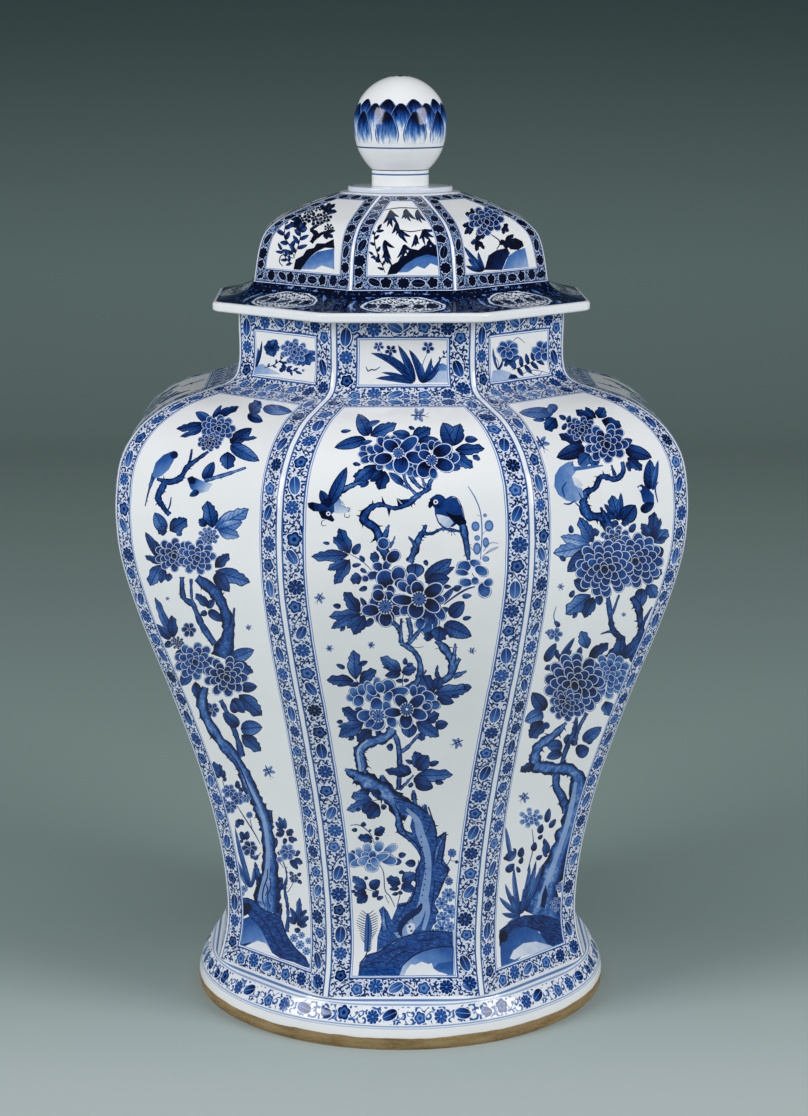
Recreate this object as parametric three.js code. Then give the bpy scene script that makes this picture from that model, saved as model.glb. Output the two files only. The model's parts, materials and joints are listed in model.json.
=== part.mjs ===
// Octagonal porcelain baluster vase with a domed cover, in millimetres, +Z up.
// The origin is the centre of the standing foot, and one flat side faces -Y.
// Each section is moulded or thrown alone and luted to the next at a level joint.
import * as THREE from 'three';

// Heights of the sections, stacked from the standing plane to the knob's top
const FOOT_HEIGHT = 30;
const LOWER_BODY_HEIGHT = 305;
const UPPER_BODY_HEIGHT = 75;
const NECK_HEIGHT = 46;
const FLANGE_HEIGHT = 17;
const DOME_HEIGHT = 54.5;
const PLINTH_HEIGHT = 3.5;
const STEM_HEIGHT = 10;
const KNOB_HEIGHT = 59;

// Distances from the axis to the middle of a flat side
const FOOT_FLAT = 136.3;
const BODY_BOTTOM_FLAT = 120.7;
const WAIST_FLAT = 115;
const GIRTH_FLAT = 180;
const NECK_BASE_FLAT = 112;
const NECK_FLAT = 102;
const MOUTH_FLARE = 0.8;
const FLANGE_FLAT = 118.5;
const DOME_FLAT = 93;
const DOME_TOP_FLAT = 36;

// Radii of the thrown, round pieces
const PLINTH_RADIUS = 33.5;
const STEM_RADIUS = 18.2;
const KNOB_RADIUS = 29.8;
const KNOB_FOOT_RADIUS = 17.9;
const KNOB_VENT_RADIUS = 9;

// Radii of the upright corners
const BODY_CORNER = 14;
const NECK_CORNER = 8;
const FLANGE_CORNER = 16;
const DOME_CORNER = 8;

// Thicknesses of the clay
const BODY_WALL = 8;
const NECK_WALL = 7.5;
const FLOOR_THICKNESS = 9;
const FOOT_RIM_WIDTH = 12;
const FLOOR_LEDGE_WIDTH = 7;
const FLOOR_POCKET_WALL = 8.4;
const FLANGE_RIM_THICKNESS = 5.5;
const DOME_WALL = 6;
const COLLAR_WALL = 5.5;
const COLLAR_DEPTH = 28;
const KNOB_WALL = 6;

// Clearances
const LUTING_GAP = 0.3;
const LID_CLEARANCE = 2.5;

// Shape shares: the dome's four diagonal sides stand nearer the axis than the other four,
// and a fully round outline keeps a sliver of each flat
const DOME_DIAGONAL_SHARE = 0.95;
const ROUND_CORNER_SHARE = 0.96;

// Counts
const SIDE_COUNT = 8;
const CORNER_STEPS = 4;
const ROUND_STEPS = 32;
const PROFILE_STEPS = 16;

// Levels of the joints
const BODY_LEVEL = FOOT_HEIGHT;
const GIRTH_LEVEL = BODY_LEVEL + LOWER_BODY_HEIGHT;
const NECK_LEVEL = GIRTH_LEVEL + UPPER_BODY_HEIGHT;
const MOUTH_LEVEL = NECK_LEVEL + NECK_HEIGHT;
const DOME_LEVEL = MOUTH_LEVEL + FLANGE_HEIGHT;
const PLINTH_LEVEL = DOME_LEVEL + DOME_HEIGHT;
const STEM_LEVEL = PLINTH_LEVEL + PLINTH_HEIGHT;
const KNOB_LEVEL = STEM_LEVEL + STEM_HEIGHT;

// Outlines, as pairs of a height share and a width share
const LOWER_BODY_SHARES = [
  [0, 0.088], [0.06, 0.018], [0.13, 0], [0.25, 0.06], [0.4, 0.214],
  [0.58, 0.48], [0.76, 0.78], [0.9, 0.96], [1, 1],
];
const UPPER_BODY_SHARES = [
  [0, 1], [0.24, 0.98], [0.42, 0.94], [0.57, 0.86], [0.7, 0.745],
  [0.81, 0.585], [0.88, 0.437], [0.94, 0.225], [1, 0],
];
const NECK_SHARES = [
  [0, 1], [0.06, 0.5], [0.14, 0.22], [0.3, 0.05], [0.5, 0], [0.75, 0], [1, 0],
];
const DOME_SHARES = [
  [0, 1], [0.14, 0.982], [0.3, 0.958], [0.44, 0.925], [0.55, 0.88], [0.65, 0.79],
  [0.73, 0.68], [0.8, 0.53], [0.88, 0.34], [0.95, 0.15], [1, 0],
];
const FLANGE_SHARES = [
  [0, 0.97], [0.12, 0.75], [0.27, 0.47], [0.5, 0.2], [0.78, 0.06], [1, 0],
];
// The foot's third share says how far its outline has turned from octagon to circle
const FOOT_SHARES = [
  [0, 0.92, 1], [0.05, 0.97, 1], [0.17, 1, 1], [0.34, 0.99, 1], [0.57, 0.86, 1],
  [0.73, 0.68, 1], [0.85, 0.47, 0.8], [0.933, 0.2, 0.45], [1, 0, 0],
];
const KNOB_SHARES = [
  [0, 0], [0.1, 0.28], [0.21, 0.6], [0.32, 0.84], [0.43, 0.97], [0.49, 1],
];
const KNOB_CENTRE_SHARE = 0.49;

// A closed outline of flat sides joined by round corners, counterclockwise from the side at -Y.
// Corner k lies between sides k and k + 1, and its arc turns from one side's normal to the next.
function outline(height, flat, corner, diagonalFlat = flat) {
  const turn = (2 * Math.PI) / SIDE_COUNT;
  const points = [];
  for (let side = 0; side < SIDE_COUNT; side += 1) {
    const normalAngle = turn * side - Math.PI / 2;
    const reach = (side % 2 === 0 ? flat : diagonalFlat) - corner;
    const nextReach = (side % 2 === 0 ? diagonalFlat : flat) - corner;
    const along = (nextReach - reach * Math.cos(turn)) / Math.sin(turn);
    const centreX = reach * Math.cos(normalAngle) - along * Math.sin(normalAngle);
    const centreY = reach * Math.sin(normalAngle) + along * Math.cos(normalAngle);
    for (let step = 0; step <= CORNER_STEPS; step += 1) {
      const angle = normalAngle + (turn * step) / CORNER_STEPS;
      points.push(new THREE.Vector3(
        centreX + corner * Math.cos(angle),
        centreY + corner * Math.sin(angle),
        height,
      ));
    }
  }
  return points;
}

function roundOutline(height, radius) {
  return outline(height, radius, radius * ROUND_CORNER_SHARE);
}

// A solid skinned over outlines that climb the outside and come down the inside.
// An open solid joins its last outline to its first, and a capped one closes both ends flat.
function skin(outlines, capped) {
  const count = outlines[0].length;
  const positions = outlines.flat().flatMap((point) => [point.x, point.y, point.z]);
  const indices = [];
  const spans = capped ? outlines.length - 1 : outlines.length;
  for (let row = 0; row < spans; row += 1) {
    const lower = row * count;
    const upper = ((row + 1) % outlines.length) * count;
    for (let column = 0; column < count; column += 1) {
      const next = (column + 1) % count;
      indices.push(lower + column, lower + next, upper + next);
      indices.push(lower + column, upper + next, upper + column);
    }
  }
  if (capped) {
    const ends = [[outlines[0], 0, true], [outlines.at(-1), spans * count, false]];
    for (const [ring, start, facesBack] of ends) {
      const hub = positions.length / 3;
      positions.push(0, 0, ring[0].z);
      for (let column = 0; column < count; column += 1) {
        const next = (column + 1) % count;
        const [first, second] = facesBack ? [next, column] : [column, next];
        indices.push(hub, start + first, start + second);
      }
    }
  }
  const geometry = new THREE.BufferGeometry();
  geometry.setAttribute('position', new THREE.Float32BufferAttribute(positions, 3));
  geometry.setIndex(indices);
  geometry.computeVertexNormals();
  return geometry;
}

// A smooth profile through a table of shares: x is the flat, y the height
function profile(shares, bottom, height, narrow, wide) {
  const points = shares.map(([rise, swell]) => new THREE.Vector2(
    narrow + (wide - narrow) * swell,
    bottom + height * rise,
  ));
  return new THREE.SplineCurve(points).getPoints(PROFILE_STEPS);
}

// The same profile moved inwards by a wall, square to its own slope
function inset(points, wall) {
  return points.map((point, index) => {
    const before = points[Math.max(index - 1, 0)];
    const after = points[Math.min(index + 1, points.length - 1)];
    const slope = after.clone().sub(before).normalize();
    return new THREE.Vector2(point.x - slope.y * wall, point.y + slope.x * wall);
  });
}

// Every second point of a profile, with both ends, for the plainer inside
function thinned(points) {
  return points.filter((point, index) => index % 2 === 0 || index === points.length - 1);
}

function glaze(color, roughness) {
  return new THREE.MeshStandardMaterial({ color, roughness, metalness: 0 });
}

function piece(name, geometry, material) {
  const mesh = new THREE.Mesh(geometry, material);
  mesh.name = name;
  return mesh;
}

// Foot: a spreading ring, octagonal where the body stands on it and round where it meets the table
function footRing() {
  const outside = FOOT_SHARES.map(([rise, spread, roundness]) => {
    const flat = BODY_BOTTOM_FLAT + (FOOT_FLAT - BODY_BOTTOM_FLAT) * spread;
    const corner = BODY_CORNER + (flat * ROUND_CORNER_SHARE - BODY_CORNER) * roundness;
    return outline(FOOT_HEIGHT * rise, flat, corner);
  });
  const standingFlat = BODY_BOTTOM_FLAT + (FOOT_FLAT - BODY_BOTTOM_FLAT) * FOOT_SHARES[0][1];
  const pocketFlat = BODY_BOTTOM_FLAT - FLOOR_POCKET_WALL;
  const ledgeLevel = BODY_LEVEL - FLOOR_THICKNESS;
  const inside = [
    roundOutline(BODY_LEVEL, pocketFlat),
    roundOutline(ledgeLevel, pocketFlat),
    roundOutline(ledgeLevel, pocketFlat - FLOOR_LEDGE_WIDTH),
    roundOutline(0, standingFlat - FOOT_RIM_WIDTH),
  ];
  return skin([...outside, ...inside], false);
}

// Floor: a disc let into the top of the foot, on the foot's ledge
function baseDisc() {
  const flat = BODY_BOTTOM_FLAT - FLOOR_POCKET_WALL - LUTING_GAP;
  const levels = [BODY_LEVEL - FLOOR_THICKNESS, BODY_LEVEL];
  return skin(levels.map((level) => roundOutline(level, flat)), true);
}

// Body below the girth: straight waist swelling to the widest level
function lowerBody() {
  const outer = profile(LOWER_BODY_SHARES, BODY_LEVEL, LOWER_BODY_HEIGHT, WAIST_FLAT, GIRTH_FLAT);
  const inner = inset(thinned(outer), BODY_WALL);
  inner[0].y = BODY_LEVEL;
  inner.at(-1).set(GIRTH_FLAT - BODY_WALL, GIRTH_LEVEL);
  const outlines = [
    ...outer.map((point) => outline(point.y, point.x, BODY_CORNER)),
    ...inner.reverse().map((point) => outline(point.y, point.x, BODY_CORNER)),
  ];
  return skin(outlines, false);
}

// Shoulder: from the girth in to the foot of the neck
function upperBody() {
  const outer = profile(
    UPPER_BODY_SHARES, GIRTH_LEVEL, UPPER_BODY_HEIGHT, NECK_BASE_FLAT, GIRTH_FLAT,
  );
  const neckInside = NECK_BASE_FLAT - NECK_WALL;
  const inner = inset(thinned(outer), BODY_WALL).filter((point) => point.x > neckInside);
  inner[0].set(GIRTH_FLAT - BODY_WALL, GIRTH_LEVEL);
  inner.push(new THREE.Vector2(neckInside, NECK_LEVEL));
  const outlines = [
    ...outer.map((point) => outline(point.y, point.x, BODY_CORNER)),
    ...inner.reverse().map((point) => outline(point.y, point.x, BODY_CORNER)),
  ];
  return skin(outlines, false);
}

// Neck: a short octagonal tube with a waist, ground flat at the mouth
function neck() {
  const outer = profile(NECK_SHARES, NECK_LEVEL, NECK_HEIGHT, NECK_FLAT, NECK_BASE_FLAT);
  const rise = (point) => (point.y - NECK_LEVEL) / NECK_HEIGHT;
  const flared = (point) => point.x + MOUTH_FLARE * rise(point) ** 2;
  const corner = (point) => {
    const spread = (point.x - NECK_FLAT) / (NECK_BASE_FLAT - NECK_FLAT);
    return NECK_CORNER + (BODY_CORNER - NECK_CORNER) * spread;
  };
  const outside = outer.map((point) => outline(point.y, flared(point), corner(point)));
  const inside = thinned(outer).reverse().map(
    (point) => outline(point.y, flared(point) - NECK_WALL, corner(point)),
  );
  return skin([...outside, ...inside], false);
}

// Flat of the lid's collar, which drops into the mouth
const COLLAR_FLAT = NECK_FLAT - NECK_WALL - LID_CLEARANCE;

// Flange: the lid's spreading octagonal rim, flat below where it rests on the mouth
function lidFlange() {
  const rimTop = MOUTH_LEVEL + FLANGE_RIM_THICKNESS;
  const rimRound = FLANGE_RIM_THICKNESS / 4;
  const diagonalShare = (swell) => 1 + (DOME_DIAGONAL_SHARE - 1) * (1 - swell);
  const rim = [
    outline(MOUTH_LEVEL, FLANGE_FLAT - rimRound, FLANGE_CORNER),
    outline(MOUTH_LEVEL + rimRound, FLANGE_FLAT, FLANGE_CORNER),
    outline(rimTop - rimRound, FLANGE_FLAT, FLANGE_CORNER),
  ];
  const slope = FLANGE_SHARES.map(([rise, swell]) => {
    const flat = DOME_FLAT + (FLANGE_FLAT - DOME_FLAT) * swell;
    return outline(
      rimTop + (DOME_LEVEL - rimTop) * rise,
      flat,
      DOME_CORNER + (FLANGE_CORNER - DOME_CORNER) * swell,
      flat * diagonalShare(swell),
    );
  });
  const domeDiagonal = DOME_FLAT * DOME_DIAGONAL_SHARE;
  const inside = [
    outline(DOME_LEVEL, DOME_FLAT - DOME_WALL, DOME_CORNER, domeDiagonal - DOME_WALL),
    outline(MOUTH_LEVEL, COLLAR_FLAT - COLLAR_WALL, NECK_CORNER),
  ];
  return skin([...rim, ...slope, ...inside], false);
}

// Dome: eight ribbed sides under a small flat top, hollow below
function lidDome() {
  const outer = profile(DOME_SHARES, DOME_LEVEL, DOME_HEIGHT, DOME_TOP_FLAT, DOME_FLAT);
  const inner = inset(thinned(outer), DOME_WALL);
  inner[0].set(DOME_FLAT - DOME_WALL, DOME_LEVEL);
  inner.at(-1).y = PLINTH_LEVEL - DOME_WALL;
  const outside = outer.map(
    (point) => outline(point.y, point.x, DOME_CORNER, point.x * DOME_DIAGONAL_SHARE),
  );
  const diagonalStep = DOME_FLAT * (1 - DOME_DIAGONAL_SHARE);
  const inside = inner.map((point) => {
    const fade = point.x / (DOME_FLAT - DOME_WALL);
    return outline(point.y, point.x, DOME_CORNER, point.x - diagonalStep * fade);
  });
  const domeDiagonal = DOME_FLAT * DOME_DIAGONAL_SHARE;
  inside[0] = outline(
    DOME_LEVEL, DOME_FLAT - DOME_WALL, DOME_CORNER, domeDiagonal - DOME_WALL,
  );
  return skin([...inside.reverse(), ...outside], true);
}

// Collar: the ring under the lid that keeps it centred in the mouth
function lidCollar() {
  const levels = [MOUTH_LEVEL - COLLAR_DEPTH, MOUTH_LEVEL];
  const outside = levels.map((level) => outline(level, COLLAR_FLAT, NECK_CORNER));
  const inside = levels.reverse().map(
    (level) => outline(level, COLLAR_FLAT - COLLAR_WALL, NECK_CORNER),
  );
  return skin([...outside, ...inside], false);
}

// A thrown solid: a profile turned about the upright axis, from axis to axis
function thrown(points) {
  const geometry = new THREE.LatheGeometry(points, ROUND_STEPS);
  return geometry.rotateX(Math.PI / 2);
}

function thrownDisc(radius, bottom, height) {
  return thrown([
    new THREE.Vector2(0, bottom),
    new THREE.Vector2(radius, bottom),
    new THREE.Vector2(radius, bottom + height),
    new THREE.Vector2(0, bottom + height),
  ]);
}

// Knob: a hollow ball on a tapering cup, with a vent below where it stands on the stem
function knobBall() {
  const centreLevel = KNOB_LEVEL + KNOB_HEIGHT * KNOB_CENTRE_SHARE;
  const crownHeight = KNOB_HEIGHT * (1 - KNOB_CENTRE_SHARE);
  const cup = KNOB_SHARES.map(([rise, swell]) => new THREE.Vector2(
    KNOB_FOOT_RADIUS + (KNOB_RADIUS - KNOB_FOOT_RADIUS) * swell,
    KNOB_LEVEL + KNOB_HEIGHT * rise,
  ));
  const crownSteps = ROUND_STEPS / 4;
  const crown = [];
  for (let step = 1; step <= crownSteps; step += 1) {
    const angle = (Math.PI / 2) * (step / crownSteps);
    const radius = step === crownSteps ? 0 : KNOB_RADIUS * Math.cos(angle);
    crown.push(new THREE.Vector2(radius, centreLevel + crownHeight * Math.sin(angle)));
  }
  const outer = [...cup, ...crown];
  const cavity = inset(thinned(outer), KNOB_WALL).filter((point) => point.x > KNOB_VENT_RADIUS);
  cavity[0].y = Math.max(cavity[0].y, KNOB_LEVEL + KNOB_WALL);
  const ceiling = new THREE.Vector2(0, centreLevel + crownHeight - KNOB_WALL);
  const inner = [
    ceiling,
    ...cavity.reverse(),
    new THREE.Vector2(KNOB_VENT_RADIUS, KNOB_LEVEL),
  ];
  return thrown([...inner, ...outer]);
}

const paintedGlaze = glaze(0x93a5c9, 0.18);
const plainGlaze = glaze(0xdfe4ea, 0.2);
const bareClay = glaze(0xb8a283, 0.75);

// The vase stands on its foot
const vase = new THREE.Group();
vase.name = 'vase';
vase.add(piece('foot_ring', footRing(), paintedGlaze));
vase.add(piece('base_disc', baseDisc(), plainGlaze));
vase.add(piece('lower_body', lowerBody(), paintedGlaze));
vase.add(piece('upper_body', upperBody(), paintedGlaze));
vase.add(piece('neck', neck(), paintedGlaze));

// The lid lifts straight off as one
const lid = new THREE.Group();
lid.name = 'lid';
lid.add(piece('lid_flange', lidFlange(), paintedGlaze));
lid.add(piece('lid_dome', lidDome(), paintedGlaze));
lid.add(piece('lid_collar', lidCollar(), bareClay));
lid.add(piece('knob_plinth', thrownDisc(PLINTH_RADIUS, PLINTH_LEVEL, PLINTH_HEIGHT), plainGlaze));
lid.add(piece('knob_stem', thrownDisc(STEM_RADIUS, STEM_LEVEL, STEM_HEIGHT), plainGlaze));
lid.add(piece('knob_ball', knobBall(), paintedGlaze));

const liddedVase = new THREE.Group();
liddedVase.name = 'lidded_vase';
liddedVase.add(vase, lid);

export default liddedVase;
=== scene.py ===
# %% [markdown]
# # A blue-and-white jar with its lid
# The object is an eight-sided porcelain jar, about 600 mm tall with its lid. Its white body
# was painted with cobalt and then covered with a clear glaze, so the picture lies under a
# glossy skin. This lesson builds every surface from numbers and then paints on it.
# The construction model is loaded first. It fixes where each section starts and ends.

# %% Load the construction model
import json

import bpy
import numpy as np
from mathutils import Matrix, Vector
from mathutils.geometry import delaunay_2d_cdt

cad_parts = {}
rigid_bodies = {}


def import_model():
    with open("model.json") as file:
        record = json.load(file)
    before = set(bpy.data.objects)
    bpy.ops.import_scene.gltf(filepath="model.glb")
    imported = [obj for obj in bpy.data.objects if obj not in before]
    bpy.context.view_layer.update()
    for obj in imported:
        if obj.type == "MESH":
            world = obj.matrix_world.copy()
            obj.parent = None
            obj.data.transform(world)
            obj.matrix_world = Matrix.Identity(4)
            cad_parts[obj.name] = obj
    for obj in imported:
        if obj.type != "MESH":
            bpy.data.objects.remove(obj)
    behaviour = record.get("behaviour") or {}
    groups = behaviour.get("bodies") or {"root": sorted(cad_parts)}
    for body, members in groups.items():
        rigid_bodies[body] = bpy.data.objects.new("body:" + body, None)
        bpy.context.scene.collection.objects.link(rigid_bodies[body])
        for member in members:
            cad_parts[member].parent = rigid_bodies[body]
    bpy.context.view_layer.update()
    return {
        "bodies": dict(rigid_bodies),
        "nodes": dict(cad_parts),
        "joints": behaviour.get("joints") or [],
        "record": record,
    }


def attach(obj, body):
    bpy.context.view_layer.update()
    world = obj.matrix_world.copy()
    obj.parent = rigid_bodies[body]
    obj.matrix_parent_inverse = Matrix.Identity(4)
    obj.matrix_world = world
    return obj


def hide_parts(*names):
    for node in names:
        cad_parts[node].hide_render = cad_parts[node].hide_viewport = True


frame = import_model()
MM = 0.001

# %% [markdown]
# ## The camera
# The photograph was taken from a little above the lid, from about 1.6 m away. Its place was
# worked out from the corners of the octagons: the sides of each octagon look shorter the
# higher they lie, and only one distance and one tilt explain all of them. The same camera
# serves twice, for the render and for placing brush strokes by a point of the photograph.

# %% The camera's place, from the photograph
PHOTO_SIZE = (808, 1116)
FOCAL_PIXELS = 2500.0
MM_PER_PIXEL = 0.6584
SENSOR_HEIGHT = 36.0
TILT = np.radians(11.7)
SWING = np.radians(1.1)
DISTANCE = FOCAL_PIXELS * MM_PER_PIXEL
AIM = np.array([2.4, 0.0, 288.0])

look_back = np.array([-np.sin(SWING) * np.cos(TILT), -np.cos(SWING) * np.cos(TILT), np.sin(TILT)])
right_hand = np.array([np.cos(SWING), -np.sin(SWING), 0.0])
up_hand = np.cross(look_back, right_hand)
eye = AIM + DISTANCE * look_back


def to_photo(points):
    """Pixel of the photograph for each point in millimetres: sideways and upward offsets
    from the eye are divided by the depth and multiplied by the focal length."""
    ray = points - eye
    depth = -ray @ look_back
    across = PHOTO_SIZE[0] / 2 + FOCAL_PIXELS * (ray @ right_hand) / depth
    down = PHOTO_SIZE[1] / 2 - FOCAL_PIXELS * (ray @ up_hand) / depth
    return np.stack([across, down], -1)


camera_data = bpy.data.cameras.new("camera")
camera_data.sensor_fit = 'VERTICAL'
camera_data.sensor_height = SENSOR_HEIGHT
camera_data.lens = SENSOR_HEIGHT * FOCAL_PIXELS / PHOTO_SIZE[1]
camera = bpy.data.objects.new("camera", camera_data)
bpy.context.scene.collection.objects.link(camera)
camera.location = eye * MM
camera.rotation_euler = Vector(-look_back).to_track_quat('-Z', 'Y').to_euler()
bpy.context.scene.camera = camera
print("eye in mm:", eye.round(1))

# %% [markdown]
# ## The shape of each section
# Every section is an octagon with round corners whose size changes with height. A profile
# gives the distance from the axis to the middle of a flat side, and the corner radius says
# how soft the upright edges are. A large corner radius turns the octagon into a circle,
# which is how the foot and the body can share one rule.
# A place on a side is given by x, the distance across from the side's middle, and y, the
# distance up along the curved profile, both in millimetres as a tape would measure them.

# %% Rounded octagons carried along a profile
SIDES = 8
TURN = 2 * np.pi / SIDES


def smooth(points, count):
    """A curve through the points: between two of them, the cubic that leaves each with the
    slope of the line joining its neighbours."""
    knots = np.asarray(points, float)
    step = np.linspace(0, len(knots) - 1, count)
    low = np.minimum(step.astype(int), len(knots) - 2)
    part = (step - low)[:, None]
    before, start = knots[np.maximum(low - 1, 0)], knots[low]
    end, after = knots[low + 1], knots[np.minimum(low + 2, len(knots) - 1)]
    return 0.5 * (2 * start + (end - before) * part
                  + (2 * before - 5 * start + 4 * end - after) * part ** 2
                  + (3 * start - before - 3 * end + after) * part ** 3)


class Section:
    """A stretch of the jar: columns height, flat, diagonal flat and corner radius, in
    millimetres, from its lower end to its upper end."""

    def __init__(self, columns):
        self.columns = np.asarray(columns, float)
        height, flat = self.columns[:, 0], self.columns[:, 1]
        steps = np.hypot(np.diff(height), np.diff(flat))
        self.along = np.concatenate([[0.0], np.cumsum(steps)])
        self.length = self.along[-1]

    def read(self, y):
        """The four columns at a distance y along the profile, read between its points."""
        return [np.interp(y, self.along, column) for column in self.columns.T]

    def reach(self, side, y):
        """Own and neighbouring reach of the corner centres, and half the flat between them."""
        height, flat, diagonal, corner = self.read(y)
        own, other = (flat, diagonal) if side % 2 == 0 else (diagonal, flat)
        own, other = own - corner, other - corner
        half_flat = (other - own * np.cos(TURN)) / np.sin(TURN)
        return height, corner, own, half_flat

    def half_width(self, side, y):
        """Half the flat and, beside it, half of the corner's arc."""
        _, corner, _, half_flat = self.reach(side, y)
        return half_flat + corner * TURN / 2

    def place(self, side, x, y):
        """Point of the surface: along the flat as far as it goes, then round the corner by
        the arc that is left over."""
        height, corner, own, half_flat = self.reach(side, y)
        flat_part = np.minimum(np.abs(x), half_flat)
        angle = (np.abs(x) - flat_part) / corner
        outward = own + corner * np.cos(angle)
        sideways = np.sign(x) * (flat_part + corner * np.sin(angle))
        facing = TURN * side - np.pi / 2
        return np.stack([
            outward * np.cos(facing) - sideways * np.sin(facing),
            outward * np.sin(facing) + sideways * np.cos(facing),
            height], -1)

    def normal(self, side, x, y):
        """Unit normal: the cross product of a short step across and a short step up."""
        step = 0.05
        low, high = np.maximum(y - step, 0), np.minimum(y + step, self.length)
        across = self.place(side, x + step, y) - self.place(side, x - step, y)
        upward = self.place(side, x, high) - self.place(side, x, low)
        found = np.cross(across, upward)
        return found / np.linalg.norm(found, axis=-1, keepdims=True)


def from_photo(section, side, pixels):
    """Place (x, y) on a side that shows at a pixel of the photograph, by Newton's steps: the
    miss in pixels is turned into a shift by the surface's own slope."""
    pixels = np.atleast_2d(np.asarray(pixels, float))
    spot = np.tile([0.0, section.length * 0.5], (len(pixels), 1))

    def seen(points):
        return to_photo(section.place(side, points[:, 0], points[:, 1]))

    for _ in range(25):
        here = seen(spot)
        by_x = seen(spot + [0.5, 0]) - here
        by_y = seen(spot + [0, 0.5]) - here
        slope = np.stack([by_x, by_y], -1) / 0.5
        spot = spot + np.linalg.solve(slope, (pixels - here)[..., None])[..., 0].clip(-40, 40)
        spot[:, 1] = spot[:, 1].clip(0, section.length - 0.6)
    return spot

# %% [markdown]
# ## The profiles
# The real profile was cut as a template, and here it is a short list of
# shares. Each pair says how far up a stretch a point lies and how far out, between the
# narrow and the wide end. Sizes and shares stay apart, so either can be changed alone.

# %% Profiles of the vase and its lid
BODY_CORNER, NECK_CORNER, DOME_CORNER, FLANGE_CORNER = 14.0, 8.0, 8.0, 16.0
FOOT_TOP, GIRTH, NECK_BASE, MOUTH, DOME_BASE, PLINTH = 30.0, 335.0, 410.0, 456.0, 473.0, 527.5
STEM, KNOB, TOP = 531.0, 541.0, 600.0
WAIST_FLAT, GIRTH_FLAT, NECK_BASE_FLAT, NECK_FLAT = 115.0, 180.0, 112.0, 102.0
BODY_BOTTOM_FLAT, FOOT_FLAT, FLANGE_FLAT, DOME_FLAT, DOME_TOP_FLAT = 120.7, 136.3, 118.5, 93.0, 36.0
DIAGONAL_SHARE = 0.95

lower_share = [(0, .088), (.06, .018), (.13, 0), (.25, .06), (.4, .214), (.58, .48), (.76, .78),
               (.9, .96), (1, 1)]
upper_share = [(0, 1), (.24, .98), (.42, .94), (.57, .86), (.7, .745), (.81, .585), (.88, .437),
               (.94, .225), (1, 0)]
neck_share = [(0, 1), (.06, .5), (.14, .22), (.3, .05), (.5, 0), (.75, 0), (1, 0)]
dome_share = [(0, 1), (.14, .982), (.3, .958), (.44, .925), (.55, .88), (.65, .79), (.73, .68),
              (.8, .53), (.88, .34), (.95, .15), (1, 0)]
flange_share = [(0, .97), (.12, .75), (.27, .47), (.5, .2), (.78, .06), (1, 0)]
foot_share = [(0, .92, 1), (.05, .97, 1), (.17, 1, 1), (.34, .99, 1), (.57, .86, 1),
              (.73, .68, 1), (.85, .47, .8), (.933, .2, .45), (1, 0, 0)]


def swept(share, base, height, narrow, wide, corner, count=160, diagonal=1.0):
    """A section whose flat runs from narrow to wide by a table of shares."""
    curve = smooth(share, count)
    flat = narrow + (wide - narrow) * curve[:, 1]
    radius = np.broadcast_to(corner, flat.shape)
    return Section(np.stack([base + height * curve[:, 0], flat, flat * diagonal, radius], 1))


lower = swept(lower_share, FOOT_TOP, GIRTH - FOOT_TOP, WAIST_FLAT, GIRTH_FLAT, BODY_CORNER)
upper = swept(upper_share, GIRTH, NECK_BASE - GIRTH, NECK_BASE_FLAT, GIRTH_FLAT, BODY_CORNER)
body = Section(np.concatenate([lower.columns, upper.columns[1:]]))
dome = swept(dome_share, DOME_BASE, PLINTH - DOME_BASE, DOME_TOP_FLAT, DOME_FLAT, DOME_CORNER,
             diagonal=DIAGONAL_SHARE)

neck_curve = smooth(neck_share, 120)
neck_flat = NECK_FLAT + (NECK_BASE_FLAT - NECK_FLAT) * neck_curve[:, 1] + 0.8 * neck_curve[:, 0] ** 2
neck_round = NECK_CORNER + (BODY_CORNER - NECK_CORNER) * neck_curve[:, 1]
neck = Section(np.stack([NECK_BASE + (MOUTH - NECK_BASE) * neck_curve[:, 0], neck_flat, neck_flat,
                         neck_round], 1))

foot_curve = smooth(foot_share, 120)
foot_flat = BODY_BOTTOM_FLAT + (FOOT_FLAT - BODY_BOTTOM_FLAT) * foot_curve[:, 1]
foot_round = BODY_CORNER + (foot_flat * 0.985 - BODY_CORNER) * foot_curve[:, 2].clip(0, 1)
foot = Section(np.stack([FOOT_TOP * foot_curve[:, 0], foot_flat, foot_flat, foot_round], 1))
print("body profile in mm:", round(body.length, 1), "half width at the girth:",
      round(float(body.half_width(0, lower.length)), 1))

# %% [markdown]
# ## Patches that join into closed shells
# A picture on a jar could be an image laid over it, but then each stroke is only as sharp as
# the image. Here each stroke is cut into the surface's own net of triangles, and every
# corner remembers where it lies in its stroke. The glaze then shades the stroke from that.
# A patch is one side of the octagon, laid out flat in millimetres. A constrained Delaunay
# net fills it and keeps every stroke's outline as edges.

# %% A net over one side, with strokes cut into it
ARC_STEPS = 4
FLAT_STEPS = 8


def columns_at(section, side, y):
    """Places across a side at height y: even steps round both corner arcs and on the flat."""
    corner, _, half_flat = [float(v) for v in section.reach(side, y)[1:]]
    arc = half_flat + corner * TURN / 2 * np.linspace(0, 1, ARC_STEPS + 1)
    flat = np.linspace(-half_flat, half_flat, FLAT_STEPS + 1)
    return np.concatenate([-arc[::-1], flat[1:-1], arc])


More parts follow.
